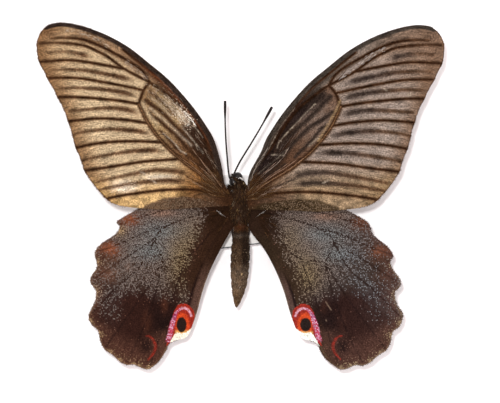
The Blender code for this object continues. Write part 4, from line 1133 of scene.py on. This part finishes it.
def hind_dust(paint, points, name, uneven, fine, reaches):
    """Blue, olive and grey dust over the hindwing's ground: amount and tint."""
    end, margin, inner, rear = reaches
    side = name.split("_")[1]
    look = HIND_LOOKS[side]
    x, y = points[:, 0], points[:, 1]
    vein_dark = fade(vein_gap(points, HIND_VEINS), 0.24)
    cover, outer = hind_cover(points, name, uneven, fine, vein_dark)
    blue = bump_at(points, (20.5, -6.3), (6.0, 2.6)) + bump_at(points, (23.3, -11.6), (5.0, 2.6))
    blue += 0.18 * outer + look["rear_blue"] * bump_at(points, (30.0, -20.0), (6.5, 6.0))
    reach = look["olive_reach"]
    olive = bump_at(points, (15.5, reach - 23.0), (3.6, reach))
    olive += 0.5 * bump_at(points, (11.5, -8.0), (3.0, 5.0))
    tint = Paint(DUST_GREY, len(points))
    tint.blend(DUST_BLUE, 0.85 * blue)
    tint.blend(DUST_OLIVE, olive)
    tint.blend(PATCH_PALE, 0.8 * bump_at(points, (20.6, -1.5), (3.4, 1.0)))
    paint.blend(tint.colours * 0.55, 0.22 * cover)
    paint.blend(HIND_BLACK, 0.5 * vein_dark * ease(x + 0.4 * y, 1.0, 6.0))
    dust = 0.47 * cover * (1.0 - 0.42 * ease(-y, 11.0, 21.0))
    if side == "right":
        olive_base = (1.0 - ease(x + 0.40 * y, 2.0, 9.0)) * ease(-y, 4.0, 9.0)
        paint.blend(INNER_OLIVE, 0.9 * olive_base * (1.0 - rear * (inner < 2.2)))
        dust *= (1.0 - 0.42 * ease(x - 0.4 * y, 26.0, 36.0)) * (1.0 - 0.2 * ease(x, 19.0, 24.0))
    tint.blend(np.array(HIND_EDGE_BROWN) * 1.5, 1.0 - ease(cover, 0.05, 0.25))
    dust = np.maximum(dust, np.maximum(0.006 * end, 0.10 * margin))
    for notch in look["notches"]:
        paint.blend(NOTCH_OCHRE, 0.6 * bump_at(points, notch, (0.55, 0.5)) * (0.6 + 0.8 * fine))
        dust = np.maximum(dust, 0.22 * bump_at(points, notch, (1.1, 1.0)))
        tint.blend(NOTCH_OCHRE, bump_at(points, notch, (1.6, 1.5)))
    return dust, tint


def hind_spot(paint, dust, tint, points, side, fine):
    """Eyespot and red crescent at the hindwing's rear corner; gives back the dust left on them."""
    look = HIND_LOOKS[side]
    x, y = points[:, 0], points[:, 1]
    jag = points + 0.10 * np.stack((waves(points, 0.7, 41, 6), waves(points, 0.7, 43, 6)), axis=1)
    jag = jag - np.array(look["spot_shift"])
    spot = inside(jag, smooth_line(SPOT_OUTLINE, 0.3)).astype(float)
    paint.blend(SPOT_RED, spot)
    heart = ellipse_at(jag, PUPIL_CENTRE, (2.3, 3.5))
    orange = spot * (1.0 - ease(heart, 0.75, 1.05)) * ease(17.2 - x, 0.0, 0.5)
    paint.blend(SPOT_ORANGE, 0.85 * orange * (0.8 + 0.4 * fine))
    paint.blend(SPOT_YELLOW, 0.9 * spot * ease(-y, 31.8, 32.6) * ease(17.3 - x, 0.0, 0.4))
    band, along = beside(jag, LILAC_BAND, 0.3)
    reach = 0.66 - 0.34 * ease(along, 0.42, 0.68)
    lilac = Paint(SPOT_LILAC, len(points))
    lilac.blend(SPOT_PINK, ease(along, 0.66, 0.8))
    lilac.blend(SPOT_PURPLE, 0.8 * fade(along - 0.55, 0.1))
    on_band = (1.0 - ease(band, 0.7 * reach, 1.2 * reach)) * ease(along, 0.0, 0.1)
    paint.blend(lilac.colours, 0.95 * on_band)
    cream = inside(jag, np.array(CREAM_OUTLINE)).astype(float)
    paint.blend(SPOT_CREAM, cream)
    pupil = ellipse_at(jag, PUPIL_CENTRE, np.array(PUPIL_SIZE) * look["pupil"])
    paint.blend(PUPIL_BLACK, 1.0 - ease(pupil, 0.92, 1.08))
    crescent, along = beside(jag, CRESCENT, 0.4)
    width = 0.46 * np.sin(math.pi * np.clip(0.10 + 0.8 * along, 0.0, 1.0))
    on_crescent = 0.75 * (1.0 - ease(crescent, 0.4 * width, width + 0.15))
    paint.blend(SPOT_RED, on_crescent * np.clip(0.7 + 0.9 * fine, 0.2, 1.0))
    paint.blend(HIND_BLACK, 0.8 * bump_at(points, CRESCENT_HEART, (1.5, 2.0)) * ease(crescent, 0.3, 0.8))
    tint.blend(SPOT_SPECKS, 2.0 * on_band)
    dust = dust * (1.0 - np.clip(spot + cream, 0.0, 1.0))
    dust = np.maximum(dust, 0.36 * on_band * (1.0 - cream) * (0.8 + 0.4 * fine))
    return dust * (1.0 - 0.85 * ease(fade(crescent, 0.8), 0.2, 0.7))


def paint_hindwing(points, name):
    """Hindwing pigment: dusted disc, dark end, brown margin, rust patches and eyespots."""
    side = name.split("_")[1]
    x, y = points[:, 0], points[:, 1]
    uneven = waves(points, 5.0, 21)
    fine = waves(points, 1.1, 23, 8)
    paint = Paint(HIND_BROWN, len(points))
    reaches = hind_ground(paint, points, side, uneven, fine)
    dust, tint = hind_dust(paint, points, name, uneven, fine, reaches)
    dust = hind_spot(paint, dust, tint, points, side, fine)
    paint.scale(np.random.default_rng(SEED).uniform(0.82, 1.2, len(points)))
    paint.scale(1.0 - 0.22 * (1.0 - ease(x, 4.0, 10.0)) * (1.0 - reaches[3]))
    if side == "right":
        paint.colours = paint.colours * np.array((1.0, 1.12, 1.25))
        outward = ease(x - 0.2 * y, 24.0, 32.0)[:, None]
        tint.colours = tint.colours * (1.0 + outward * np.array((-0.06, 0.06, 0.18)))
        for scratch in HIND_SCRATCHES:
            away, _ = near_line(points, np.array(scratch))
            paint.blend(HIND_RIM_PALE, 0.7 * fade(away, 0.13))
    return paint.colours, dust, tint.colours


WINGS = {
    "forewing": (fore_height, fore_relief, paint_forewing),
    "hindwing": (hind_height, hind_relief, paint_hindwing),
}


def station_at(stations, t):
    """Smoothly interpolated station, t from 0 at the first to 1 at the last."""
    line = smooth_line(stations, 0.25)
    y = stations[0][0] + (stations[-1][0] - stations[0][0]) * t
    keys = line[::-1, 0]
    return np.array([y] + [np.interp(y, keys, line[::-1, k]) for k in range(1, 5)])


def spindle(stations, sides, rings, squareness, inset, groove=None):
    """Body form along Y inside the solid's surface by the depth of its coat."""
    form = bmesh.new()
    bmesh.ops.create_uvsphere(form, u_segments=sides, v_segments=rings, radius=1.0)
    for vert in form.verts:
        ring = math.acos(max(-1.0, min(1.0, vert.co.z))) / math.pi
        angle = math.atan2(vert.co.y, vert.co.x)
        t = ring - 0.08 * math.sin(2.0 * math.pi * ring)
        y, centre_x, centre_z, half_width, half_height = station_at(stations, t)
        rounding = max(0.0, 1.0 - abs(2.0 * t - 1.0) ** squareness) ** (1.0 / squareness)
        if groove is not None:
            rounding *= groove(t)
        vert.co = (centre_x + max(0.0, half_width * rounding - inset) * math.cos(angle), y,
                   centre_z + max(0.0, half_height * rounding - inset) * math.sin(angle))
    bmesh.ops.remove_doubles(form, verts=form.verts, dist=0.001)
    form.normal_update()
    bmesh.ops.recalc_face_normals(form, faces=form.faces)
    return form


def ringed(t):
    """Grooves between the abdomen's segments."""
    return 1.0 - 0.07 * abs(math.cos(math.pi * ABDOMEN_SEGMENTS * t)) ** 6


def head_point(across, ahead, up):
    """Place of a point given from the head's centre, in the head's own axes."""
    return HEAD_CENTRE + Matrix.Rotation(HEAD_TURN, 3, "Z") @ Vector((across, ahead, up))


def ellipsoid(centre, half_sizes, turn, sides=32, rings=24):
    """Egg shape, turned about the vertical."""
    form = bmesh.new()
    place = Matrix.Translation(centre) @ Matrix.Rotation(turn, 4, "Z")
    bmesh.ops.create_uvsphere(form, u_segments=sides, v_segments=rings, radius=1.0,
                              matrix=place @ Matrix.Diagonal((*half_sizes, 1.0)))
    return form


def tube(name, path, radii, sides):
    """Mesh of a closed tube along a path, in metres."""
    verts = []
    faces = []
    for index, place in enumerate(path):
        run = path[min(index + 1, len(path) - 1)] - path[max(index - 1, 0)]
        run /= np.linalg.norm(run)
        side = np.cross(run, UP)
        side /= np.linalg.norm(side)
        lift = np.cross(side, run)
        for k in range(sides):
            angle = 2.0 * math.pi * k / sides
            verts.append(place + radii[index] * (math.cos(angle) * side + math.sin(angle) * lift))
    for index in range(len(path) - 1):
        for k in range(sides):
            a = index * sides + k
            b = index * sides + (k + 1) % sides
            faces.append((a, b, b + sides, a + sides))
    faces.append(tuple(range(sides))[::-1])
    faces.append(tuple(range(len(verts) - sides, len(verts))))
    return mesh_of(name, verts, faces)


def body_colours(points):
    """Pigment of the body at points of its surface, in millimetres."""
    x, y = points[:, 0], points[:, 1]
    mottle = waves(points[:, :2], 2.2, 51, 9)
    fine = waves(points[:, :2], 0.8, 53, 9)
    paint = Paint(HAIR_DARK, len(points))
    thorax = ease(6.0 - y, 0.0, 2.0) * ease(y, -6.4, -5.4)
    brown = thorax * (0.15 + 0.75 * fade(x, 1.9)) * (0.65 + 0.9 * mottle + 0.6 * fine)
    paint.blend(BODY_BROWN, brown)
    paint.blend(HAIR_RED, 0.9 * fade(y + 4.9, 1.0) * fade(x, 1.1))
    paint.blend(HAIR_DARK, 0.8 * fade(y + 3.4, 0.5) * ease(np.abs(x), 0.3, 1.0))

    abdomen = ease(-y, 5.6, 6.6)
    off_centre = x - (0.1 - 0.0012 * (-y - 5.0) ** 2)
    rear = ease(-y + 0.8 * mottle, 13.0, 19.0)
    patchy = np.clip(0.55 + 0.75 * mottle + 0.6 * fine, 0.0, 1.0)
    paint.blend(ABDOMEN_DARK, abdomen)
    paint.blend(ABDOMEN_GREY, 0.55 * abdomen * fade(y + 7.4, 0.5))
    front = 0.55 * abdomen * ease(-y, 7.6, 10.0) * ease(0.5 + 0.25 * fine - off_centre, -0.3, 0.8)
    paint.blend(ABDOMEN_BROWN, front * (0.5 + 0.3 * rear) * (0.55 + 0.7 * patchy))
    paint.blend(ABDOMEN_BROWN, abdomen * rear * (0.30 + 0.55 * patchy))
    paint.blend(ABDOMEN_GREY, 0.6 * abdomen * ease(off_centre, 1.4, 1.9) * (0.6 + 0.5 * fine))
    right_half = ease(off_centre, 0.25, 0.8) * (1.0 - 0.6 * ease(off_centre, 1.7, 2.1))
    dark = np.maximum(fade(off_centre - 0.95, 0.55), 0.85 * right_half)
    dark = dark * (1.0 - 0.7 * ease(-y + mottle, 15.0, 20.0)) * ease(-y, 6.5, 8.0)
    paint.blend(np.array(ABDOMEN_DARK) * 0.7, 0.9 * abdomen * dark)
    blotch = ease(waves(points[:, :2], 1.3, 59, 9), 0.05, 0.5) * abdomen * (1.0 - dark)
    paint.blend(ABDOMEN_DARK, 0.6 * blotch)
    flank = ease(np.abs(off_centre - 0.1) / (2.6 - 0.075 * np.maximum(-y - 12.0, 0.0)), 0.72, 0.95)
    paint.blend(ABDOMEN_DARK, 0.5 * abdomen * flank * (off_centre > 0.0))
    ring = (-y - 7.0) / 2.35
    band = fade(ring - np.round(ring), 0.10) * ease(-y, 8.0, 10.0)
    paint.blend(ABDOMEN_DARK, 0.35 * band * abdomen * (0.6 + 0.6 * mottle))
    ashen = ease(-y, 14.0, 17.0) * (1.0 - ease(-y, 20.5, 24.0)) * (0.7 + 0.5 * fine)
    paint.blend(ABDOMEN_ASH, 0.45 * ashen)
    return paint.colours


def make_body_skin(finish):
    """One skin over thorax, abdomen, head and palpi, with no seams."""
    forms = [spindle(THORAX, 48, 40, 4.0, 0.25), spindle(ABDOMEN, 40, 110, 5.0, 0.06, ringed),
             ellipsoid(HEAD_CENTRE, [size - 0.08 for size in HEAD_SIZES], HEAD_TURN),
             *(ellipsoid(Vector(centre), sizes, 0.0) for centre, sizes in BODY_JOINS)]
    pieces = [mesh_from(form, "piece") for form in forms]
    for sign in (-1.0, 1.0):
        path = smooth_line([head_point(sign * PALPUS_OFFSET * 0.75, *place) for place in PALPUS_PATH], 0.15)
        radii = [PALPUS_RADIUS * (0.95 - 0.35 * k / (len(path) - 1)) for k in range(len(path))]
        pieces.append(tube("piece", path, radii, 12))
    whole = bmesh.new()
    for piece in pieces:
        whole.from_mesh(piece)
        bpy.data.meshes.remove(piece)
    joined = bpy.data.meshes.new("joined")
    whole.to_mesh(joined)
    whole.free()
    forms_obj = link(bpy.data.objects.new("joined", joined))
    fuse = forms_obj.modifiers.new("fuse", "REMESH")
    fuse.mode = "VOXEL"
    fuse.voxel_size = SKIN_VOXEL * MM
    soften = forms_obj.modifiers.new("soften", "SMOOTH")
    soften.factor = 0.5
    soften.iterations = 4
    graph = bpy.context.evaluated_depsgraph_get()
    skin = bpy.data.meshes.new_from_object(forms_obj.evaluated_get(graph))
    bpy.data.objects.remove(forms_obj)
    bpy.data.meshes.remove(joined)
    skin.name = "body_skin"
    skin.materials.clear()
    set_colours(skin, "pigment", body_colours(vertex_points(skin)))
    add_piece("body_skin", skin, finish, "body", "thorax", "abdomen", "head", "palpus_left", "palpus_right")
    return skin


def sample_surface(mesh, count, seed):
    """Random points and normals spread evenly over a mesh, in millimetres."""
    mesh.calc_loop_triangles()
    draw = np.random.default_rng(seed)
    corner = np.zeros(len(mesh.loop_triangles) * 3, int)
    mesh.loop_triangles.foreach_get("vertices", corner)
    a, b, c = vertex_points(mesh)[corner.reshape(-1, 3)].transpose(1, 0, 2)
    cross = np.cross(b - a, c - a)
    area = np.linalg.norm(cross, axis=1)
    pick = draw.choice(len(area), count, p=area / area.sum())
    u = draw.random(count)
    v = draw.random(count)
    flip = u + v > 1.0
    u[flip] = 1.0 - u[flip]
    v[flip] = 1.0 - v[flip]
    roots = a[pick] + u[:, None] * (b - a)[pick] + v[:, None] * (c - a)[pick]
    return roots, cross[pick] / area[pick][:, None]


def hair_mesh(name, roots, normals, lie, lengths, widths, lift, colours, spread_uv, finish, slot):
    """Tapered three-sided hairs that rise from their roots and bend over along the lie."""
    count = len(roots)
    normals = np.broadcast_to(normals, (count, 3))
    lengths, widths, lift = (np.broadcast_to(value, count)[:, None] for value in (lengths, widths, lift))
    side = unit(np.cross(normals, lie))
    start_way = unit(normals * lift + lie * (1.0 - lift))
    end_way = unit(normals * (0.25 * lift) + lie)
    middle = roots + start_way * lengths * 0.5
    verts = np.zeros((count, 7, 3))
    for k in range(3):
        angle = 2.0 * math.pi * k / 3
        offset = side * math.cos(angle) + normals * math.sin(angle)
        verts[:, k] = roots - normals * ROOT_DEPTH + offset * widths
        verts[:, 3 + k] = middle + offset * widths * 0.7
    verts[:, 6] = middle + end_way * lengths * 0.5
    faces = (np.array(HAIR_FACES)[None] + (np.arange(count) * 7)[:, None, None]).reshape(-1, 3)
    mesh = bpy.data.meshes.new(name)
    mesh.vertices.add(count * 7)
    mesh.vertices.foreach_set("co", (verts * MM).ravel())
    mesh.loops.add(len(faces) * 3)
    mesh.loops.foreach_set("vertex_index", faces.ravel().astype(np.int32))
    mesh.polygons.add(len(faces))
    mesh.polygons.foreach_set("loop_start", (np.arange(len(faces)) * 3).astype(np.int32))
    mesh.update(calc_edges=True)
    mesh.validate()
    form = bmesh.new()
    form.from_mesh(mesh)
    bmesh.ops.recalc_face_normals(form, faces=form.faces)
    form.to_mesh(mesh)
    form.free()
    # Painted shade at each hair's foot and painted light at its tip
    set_colours(mesh, "pigment", (colours[:, None, :] * np.array(HAIR_PAINTED_SHADING)[None, :, None]).reshape(-1, 3))
    spots = (spread_uv[:, None, :] + np.array(HAIR_PATCH)[None]).reshape(-1, 2)
    order = np.zeros(len(mesh.loops), np.int32)
    mesh.loops.foreach_get("vertex_index", order)
    layer = mesh.uv_layers.new(name="OFBake")
    layer.data.foreach_set("uv", spots[order].astype(np.float32).ravel())
    add_piece(name, mesh, finish, slot)


def body_uv(points):
    """Unwrap of the body: round its axis across, along its length up."""
    angle = np.arctan2(points[:, 2] - 12.4, points[:, 0])
    u = 0.02 + 0.95 * (angle + math.pi) / (2.0 * math.pi)
    v = 0.02 + 0.95 * (points[:, 1] + 27.0) / 37.0
    return np.stack((u, v), axis=1)


def make_body_hair(skin, finish):
    """Coat of the head, thorax and abdomen, longest on the thorax."""
    roots, normals = sample_surface(skin, BODY_HAIRS, SEED)
    count = len(roots)
    draw = np.random.default_rng(SEED + 1)
    x, y = roots[:, 0], roots[:, 1]
    back = np.array((0.0, -1.0, 0.0))
    jitter = draw.normal(0.0, 0.22, roots.shape)
    lie = unit(back - normals * (back * normals).sum(axis=1)[:, None] * 0.8 + jitter)
    on_head = ease(y, 5.8, 6.6)
    on_abdomen = ease(-y, 5.4, 6.6)
    length = 0.95 * (1.0 - on_head) * (1.0 - on_abdomen) + 0.55 * on_head + 0.45 * on_abdomen
    length *= draw.uniform(0.6, 1.35, count)
    width = np.where(on_abdomen > 0.5, 0.07, 0.04) * draw.uniform(0.8, 1.3, count)
    fleck = waves(roots[:, :2], 0.5, 57, 9)
    lift = np.clip(0.45 - 0.25 * on_abdomen + draw.normal(0.0, 0.1, count), 0.08, 0.8)
    paint = Paint(HAIR_DARK, count)
    paint.colours = body_colours(roots)
    paint.scale(draw.uniform(0.2, 1.8, count) * (1.0 + 0.6 * fleck))
    shoulder = ease(np.abs(x), 1.1, 1.9) * ease(y, 2.2, 3.6) * (1.0 - ease(y, 5.6, 6.2))
    outward = np.stack((np.sign(x) * 0.9, np.full(count, 0.45), np.full(count, 0.35)), axis=1)
    lie = unit(lie * (1.0 - shoulder)[:, None] + (outward + 0.6 * jitter) * shoulder[:, None])
    length *= 1.0 + 0.35 * shoulder
    paint.blend(HAIR_DARK, 0.7 * shoulder)
    gilt_share = 0.24 * ease(fleck, -0.1, 0.4) * (1.0 - on_abdomen) * (1.0 - shoulder) * (1.0 - 0.7 * on_head)
    gilt = draw.random(count) < gilt_share
    paint.colours[gilt] = np.array(HAIR_GOLD) * draw.uniform(0.5, 1.3, gilt.sum())[:, None]
    pale = draw.random(count) < 0.014 + 0.05 * on_abdomen * ease(-y, 9.0, 16.0)
    paint.colours[pale] = np.array(HAIR_PALE) * draw.uniform(0.6, 1.2, pale.sum())[:, None]
    clear = np.ones(count, bool)
    for sign in (-1.0, 1.0):
        eye = np.array(head_point(sign * EYE_OFFSET, 0.0, 0.1))
        clear &= np.linalg.norm(roots - eye, axis=1) >= EYE_RADIUS * 1.12
    for name, part in (("coat_front", clear & (y > -5.8)), ("coat_abdomen", clear & (y <= -5.8))):
        hair_mesh(name, roots[part], normals[part], lie[part], length[part], width[part], lift[part],
                  paint.colours[part], body_uv(roots[part]), finish, "body")


def wing_uv(points):
    """Unwrap of the wings, laid out flat in their own axes."""
    return 0.02 + 0.95 * np.stack((points[:, 0] / 56.0, (points[:, 1] + 44.0) / 94.0), axis=1)


def make_wing_hair(finish):
    """Long hairs that fan out over the wing bases."""
    draw = np.random.default_rng(SEED + 3)
    for wing, fan in WING_HAIR.items():
        for side in ("left", "right"):
            name = f"{wing}_{side}"
            count = fan["count"]
            angle = np.radians(draw.uniform(*fan["bearings"], count))
            way = np.stack((np.cos(angle), np.sin(angle)), axis=1)
            flat = np.array(fan["hub"]) + way * draw.uniform(1.2, 7.0, count)[:, None]
            length = draw.uniform(1.4, 4.4, count)
            tip = flat + way * length[:, None] + draw.normal(0.0, 0.12, flat.shape)
            roots, ends = (np.stack((*placed(place, name), WINGS[wing][0](place) + 0.12), axis=1)
                           for place in (flat, tip))
            colours = np.array(HAIR_BROWN) * draw.uniform(0.15, fan["brightest"], count)[:, None]
            gilt = draw.random(count) < fan["gilt"]
            colours[gilt] = np.array(HAIR_GOLD) * draw.uniform(0.6, 1.4, gilt.sum())[:, None]
            pale = draw.random(count) < fan["pale"]
            colours[pale] = np.array(HAIR_PALE) * draw.uniform(0.8, 1.8, pale.sum())[:, None]
            hair_mesh(f"coat_{name}", roots, UP, unit(ends - roots), length, draw.uniform(0.02, 0.04, count),
                      0.06, colours, wing_uv(flat), finish, "body")


def on_wing(flat, name, rise):
    """Points a little above a wing's upper face, in millimetres."""
    height, relief_at, _ = WINGS[name.split("_")[0]]
    relief, ridge = relief_at(flat, name)
    x, y = placed(flat, name)
    return np.stack((x, y, height(flat) + relief + ridge + rise), axis=1)


def lay_strands(name, wing, flat, tip, rise, widths, colours, finish):
    """Strands that lie on a wing, each from its place to its tip."""
    roots, ends = on_wing(flat, wing, rise), on_wing(tip, wing, rise)
    hair_mesh(name, roots, UP, unit(ends - roots), np.linalg.norm(ends - roots, axis=1), widths, 0.02,
              colours, wing_uv(flat), finish, wing.split("_")[0])


def make_silk(finish):
    """Silky scales that lie in strokes along the forewings, and fine lines fanning from their roots."""
    draw = np.random.default_rng(SEED + 5)
    for side in ("left", "right"):
        strands = []
        for pigment, count, spread, lengths, width, line in FORE_SILK[side]:
            path = smooth_line(line, 0.1)
            start = draw.integers(0, len(path) - 1, count)
            run = unit(path[np.minimum(start + 4, len(path) - 1)] - path[np.maximum(start - 4, 0)])
            across = np.stack((-run[:, 1], run[:, 0]), axis=1)
            flat = path[start] + across * draw.normal(0.0, spread, count)[:, None]
            way = run + draw.normal(0.0, 0.015 + 0.06 * min(spread, 1.0), run.shape)
            tip = flat + way * draw.uniform(*lengths, count)[:, None]
            widths = width * draw.uniform(0.7, 1.3, count)
            strands.append((flat, tip, widths, np.array(pigment) * draw.uniform(0.6, 1.35, count)[:, None]))
        flat, tip, widths, colours = (np.concatenate(column) for column in zip(*strands))
        lay_strands("coat_silk_" + side, "forewing_" + side, flat, tip, WING_THICKNESS / 2 + 0.03,
                    widths, colours, finish)


def make_margin_fringe(finish):
    """Short scales along the outer margins of the wings."""
    draw = np.random.default_rng(SEED + 6)
    for name in SETTING:
        wing, side = name.split("_")
        fore = wing == "forewing"
        margin, reach = (FORE_EDGE[11:27], 0.6) if fore else (HIND_EDGE[6:34], 2.3)
        loop = wing_outline(name)
        pick = draw.choice(np.flatnonzero(beside(loop, margin, RIM_STEP)[0] < reach), MARGIN_SCALES)
        along = draw.random(MARGIN_SCALES)[:, None]
        flat = loop[pick] + (loop[(pick + 1) % len(loop)] - loop[pick]) * along
        way = draw.normal(0.0, 0.3, flat.shape) - inward_of(loop)[pick]
        longest = 0.36 - (0.26 * ease(flat[:, 1], 20.0, 30.0) if name == "forewing_right" else 0.0)
        tip = flat + way * (longest * draw.uniform(0.35, 1.0, MARGIN_SCALES))[:, None]
        pigment = np.array(FORE_LOOKS[side]["edge"] if fore else HIND_EDGE_BROWN)
        colours = pigment * draw.uniform(0.4, 1.2, MARGIN_SCALES)[:, None]
        lay_strands("coat_margin_" + name, name, flat, tip, 0.0, 0.045, colours, finish)


def make_fringes(finish):
    """White scales behind the eye, and pale strands across the wing roots whose whiteness is a painted glint.
    """
    draw = np.random.default_rng(SEED + 4)
    for index, (line, way, count, long, wide) in enumerate(FRINGES, 1):
        path = smooth_line(line, 0.02)
        roots = path[draw.integers(0, len(path), count)] + draw.normal(0.0, 0.06, (count, 3))
        lie = unit(np.array(way) + draw.normal(0.0, 0.06, (count, 3)))
        colours = np.array(FRINGE_AND_GLINT_WHITE) * draw.uniform(0.5, 1.3, count)[:, None]
        hair_mesh(f"coat_fringe_{index}", roots, UP, lie, long * draw.uniform(0.7, 1.2, count), wide, 0.05,
                  colours, body_uv(roots), finish, "body")


def make_flecks(skin, finish):
    """Pale and golden tufts scattered over the head, thorax and abdomen."""
    draw = np.random.default_rng(SEED + 7)
    coords = vertex_points(skin)
    roots = []
    colours = []
    for place, pigment, count in BODY_FLECKS:
        near = np.linalg.norm(coords[:, :2] - np.array(place), axis=1) < 0.3
        top = coords[near, 2].max() if near.any() else FORE_LEVEL
        flat = np.array(place) + draw.normal(0.0, 0.11, (count, 2))
        roots.append(np.column_stack((flat, np.full(count, top + 0.22))))
        colours.append(np.array(pigment) * draw.uniform(0.5, 1.2, count)[:, None])
    roots = np.vstack(roots)
    count = len(roots)
    lie = unit(np.array((0.0, -0.9, 0.15)) + draw.normal(0.0, 0.25, (count, 3)))
    hair_mesh("coat_flecks", roots, UP, lie, draw.uniform(0.25, 0.6, count), 0.05, 0.1, np.vstack(colours),
              body_uv(roots), finish, "body")


def make_eyes(finish):
    """Domed compound eyes."""
    for side, sign in (("left", -1.0), ("right", 1.0)):
        centre = head_point(sign * EYE_OFFSET, 0.0, 0.1)
        sizes = (EYE_RADIUS * 0.9, EYE_RADIUS, EYE_RADIUS * 1.1)
        mesh = mesh_from(ellipsoid(centre, sizes, HEAD_TURN, 48, 36), "eye_dome_" + side)
        add_piece("eye_dome_" + side, mesh, finish, "eye", "eye_" + side)


def make_antennae(finish):
    """Slim ringed shafts that thicken into a club."""
    for name, points in ANTENNA_PATHS.items():
        path = smooth_line(points, 0.16)
        radii = []
        for index in range(len(path)):
            along = index / (len(path) - 1)
            swell = max(0.0, (along - 0.78) / 0.22)
            radius = 0.23 + 0.16 * math.sin(2.3 * swell) - 0.03 * along
            radii.append(radius * (1.0 + (0.05 if index % 2 else -0.03)))
        mesh = tube(name + "_shaft", path, radii, 14)
        add_piece(name + "_shaft", mesh, finish, "feeler", name)
        mesh.set_sharp_from_angle(angle=SHARP_ANGLE)


def dress_nodes():
    """Finishes for the nodes that keep their solid's shape."""
    chitin = grain_material("chitin", (0.012, 0.008, 0.006), (0.04, 0.024, 0.016), 0.35, 1800.0)
    foam = grain_material("foam", (0.78, 0.78, 0.77), (0.92, 0.92, 0.91), 0.9, 900.0, bump=0.4)
    steel = grain_material("steel", (0.5, 0.5, 0.5), (0.65, 0.65, 0.64), 0.3, 400.0, 1.0, 0.05)
    paper = grain_material("paper", (0.80, 0.79, 0.75), (0.90, 0.89, 0.86), 0.9, 700.0, bump=0.15)
    finishes = {"stand_base": foam, "stand_rod": steel, "data_card": paper, "proboscis": chitin}
    for pair in ("foreleg", "midleg", "hindleg"):
        for side in ("left", "right"):
            finishes[f"{pair}_{side}"] = chitin
    for name, finish in finishes.items():
        mesh = nodes[name].data
        mesh.materials.clear()
        mesh.materials.append(finish)


def make_card_border():
    """Thin dark line printed round the bare card."""
    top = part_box("data_card")[1].z / MM
    centre_y = CARD_REAR + CARD_WIDTH / 2
    length = CARD_LENGTH / 2 - BORDER_INSET
    width = CARD_WIDTH / 2 - BORDER_INSET
    line = BORDER_WIDTH / 2
    bars = [((0.0, centre_y + sign * width), (length, line)) for sign in (-1.0, 1.0)]
    bars += [((sign * length, centre_y), (line, width)) for sign in (-1.0, 1.0)]
    form = bmesh.new()
    for centre, half in bars:
        place = Matrix.Translation((*centre, top + 0.02))
        bmesh.ops.create_cube(form, size=2.0, matrix=place @ Matrix.Diagonal((*half, 0.02, 1.0)))
    bmesh.ops.rotate(form, matrix=Matrix.Rotation(CARD_TURN, 3, "Z"), verts=form.verts)
    ink = grain_material("ink", (0.03, 0.035, 0.04), (0.07, 0.075, 0.08), 0.8, 2000.0)
    add_piece("card_border", mesh_from(form, "card_border"), ink, "card", smooth=False)


def make_stage():
    """Pale floor, soft light and the camera above."""
    mesh = bpy.data.meshes.new("floor")
    signs = [(-1.0, -1.0), (1.0, -1.0), (1.0, 1.0), (-1.0, 1.0)]
    mesh.from_pydata([(FLOOR_HALF * x, FLOOR_HALF * y, 0.0) for x, y in signs], [], [(0, 1, 2, 3)])
    floor_finish, shader = node_material("floor_paint", 0.95, 0.1)
    shader.inputs["Base Color"].default_value = FLOOR_COLOUR
    mesh.materials.append(floor_finish)
    link(bpy.data.objects.new("floor", mesh))

    world = bpy.data.worlds.new("studio")
    world.use_nodes = True
    sky = world.node_tree.nodes["Background"]
    sky.inputs["Color"].default_value = SKY_COLOUR
    sky.inputs["Strength"].default_value = SKY_STRENGTH
    bpy.context.scene.world = world

    key = bpy.data.lights.new("key", "AREA")
    key.shape = "DISK"
    key.size = LAMP_SIZE
    key.energy = LAMP_POWER
    key_obj = link(bpy.data.objects.new("key", key))
    key_obj.location = LAMP_PLACE
    key_obj.rotation_euler = (LAMP_AIM - LAMP_PLACE).to_track_quat("-Z", "Y").to_euler()

    camera = bpy.data.cameras.new("camera")
    camera.sensor_width = SENSOR_WIDTH
    camera.lens = SENSOR_WIDTH * CAMERA_DISTANCE / (PHOTO_WIDTH * PHOTO_SCALE)
    camera.clip_start = 0.01
    camera_obj = link(bpy.data.objects.new("camera", camera))
    centre_x = (PHOTO_WIDTH / 2 - PHOTO_PIN[0]) * PHOTO_SCALE
    centre_y = (PHOTO_PIN[1] - PHOTO_HEIGHT / 2) * PHOTO_SCALE
    camera_obj.location = (centre_x * MM, centre_y * MM, (CAMERA_DISTANCE + FORE_LEVEL) * MM)
    bpy.context.scene.camera = camera_obj
    bpy.context.scene.view_settings.view_transform = "Standard"


def main():
    """Build every piece."""
    finishes = {"forewing": scale_material("forewing_scales", 0.52, 0.50),
                "hindwing": scale_material("hindwing_scales", 0.45, 0.15)}
    for side in ("left", "right"):
        for wing, finish in finishes.items():
            make_wing(f"{wing}_{side}", finish)
    skin = make_body_skin(skin_material("body_skin"))
    coat = hair_material("coat")
    make_body_hair(skin, coat)
    make_wing_hair(coat)
    make_silk(coat)
    make_margin_fringe(coat)
    make_fringes(coat)
    make_flecks(skin, coat)
    dress_nodes()
    make_eyes(grain_material("eye", (0.005, 0.004, 0.004), (0.014, 0.012, 0.011), 0.12, 5200.0,
                             bump=0.3, specular=0.2))
    make_antennae(grain_material("antenna", (0.006, 0.005, 0.005), (0.016, 0.012, 0.011), 0.6, 1800.0,
                                 specular=0.1))
    make_card_border()
    make_stage()


main()
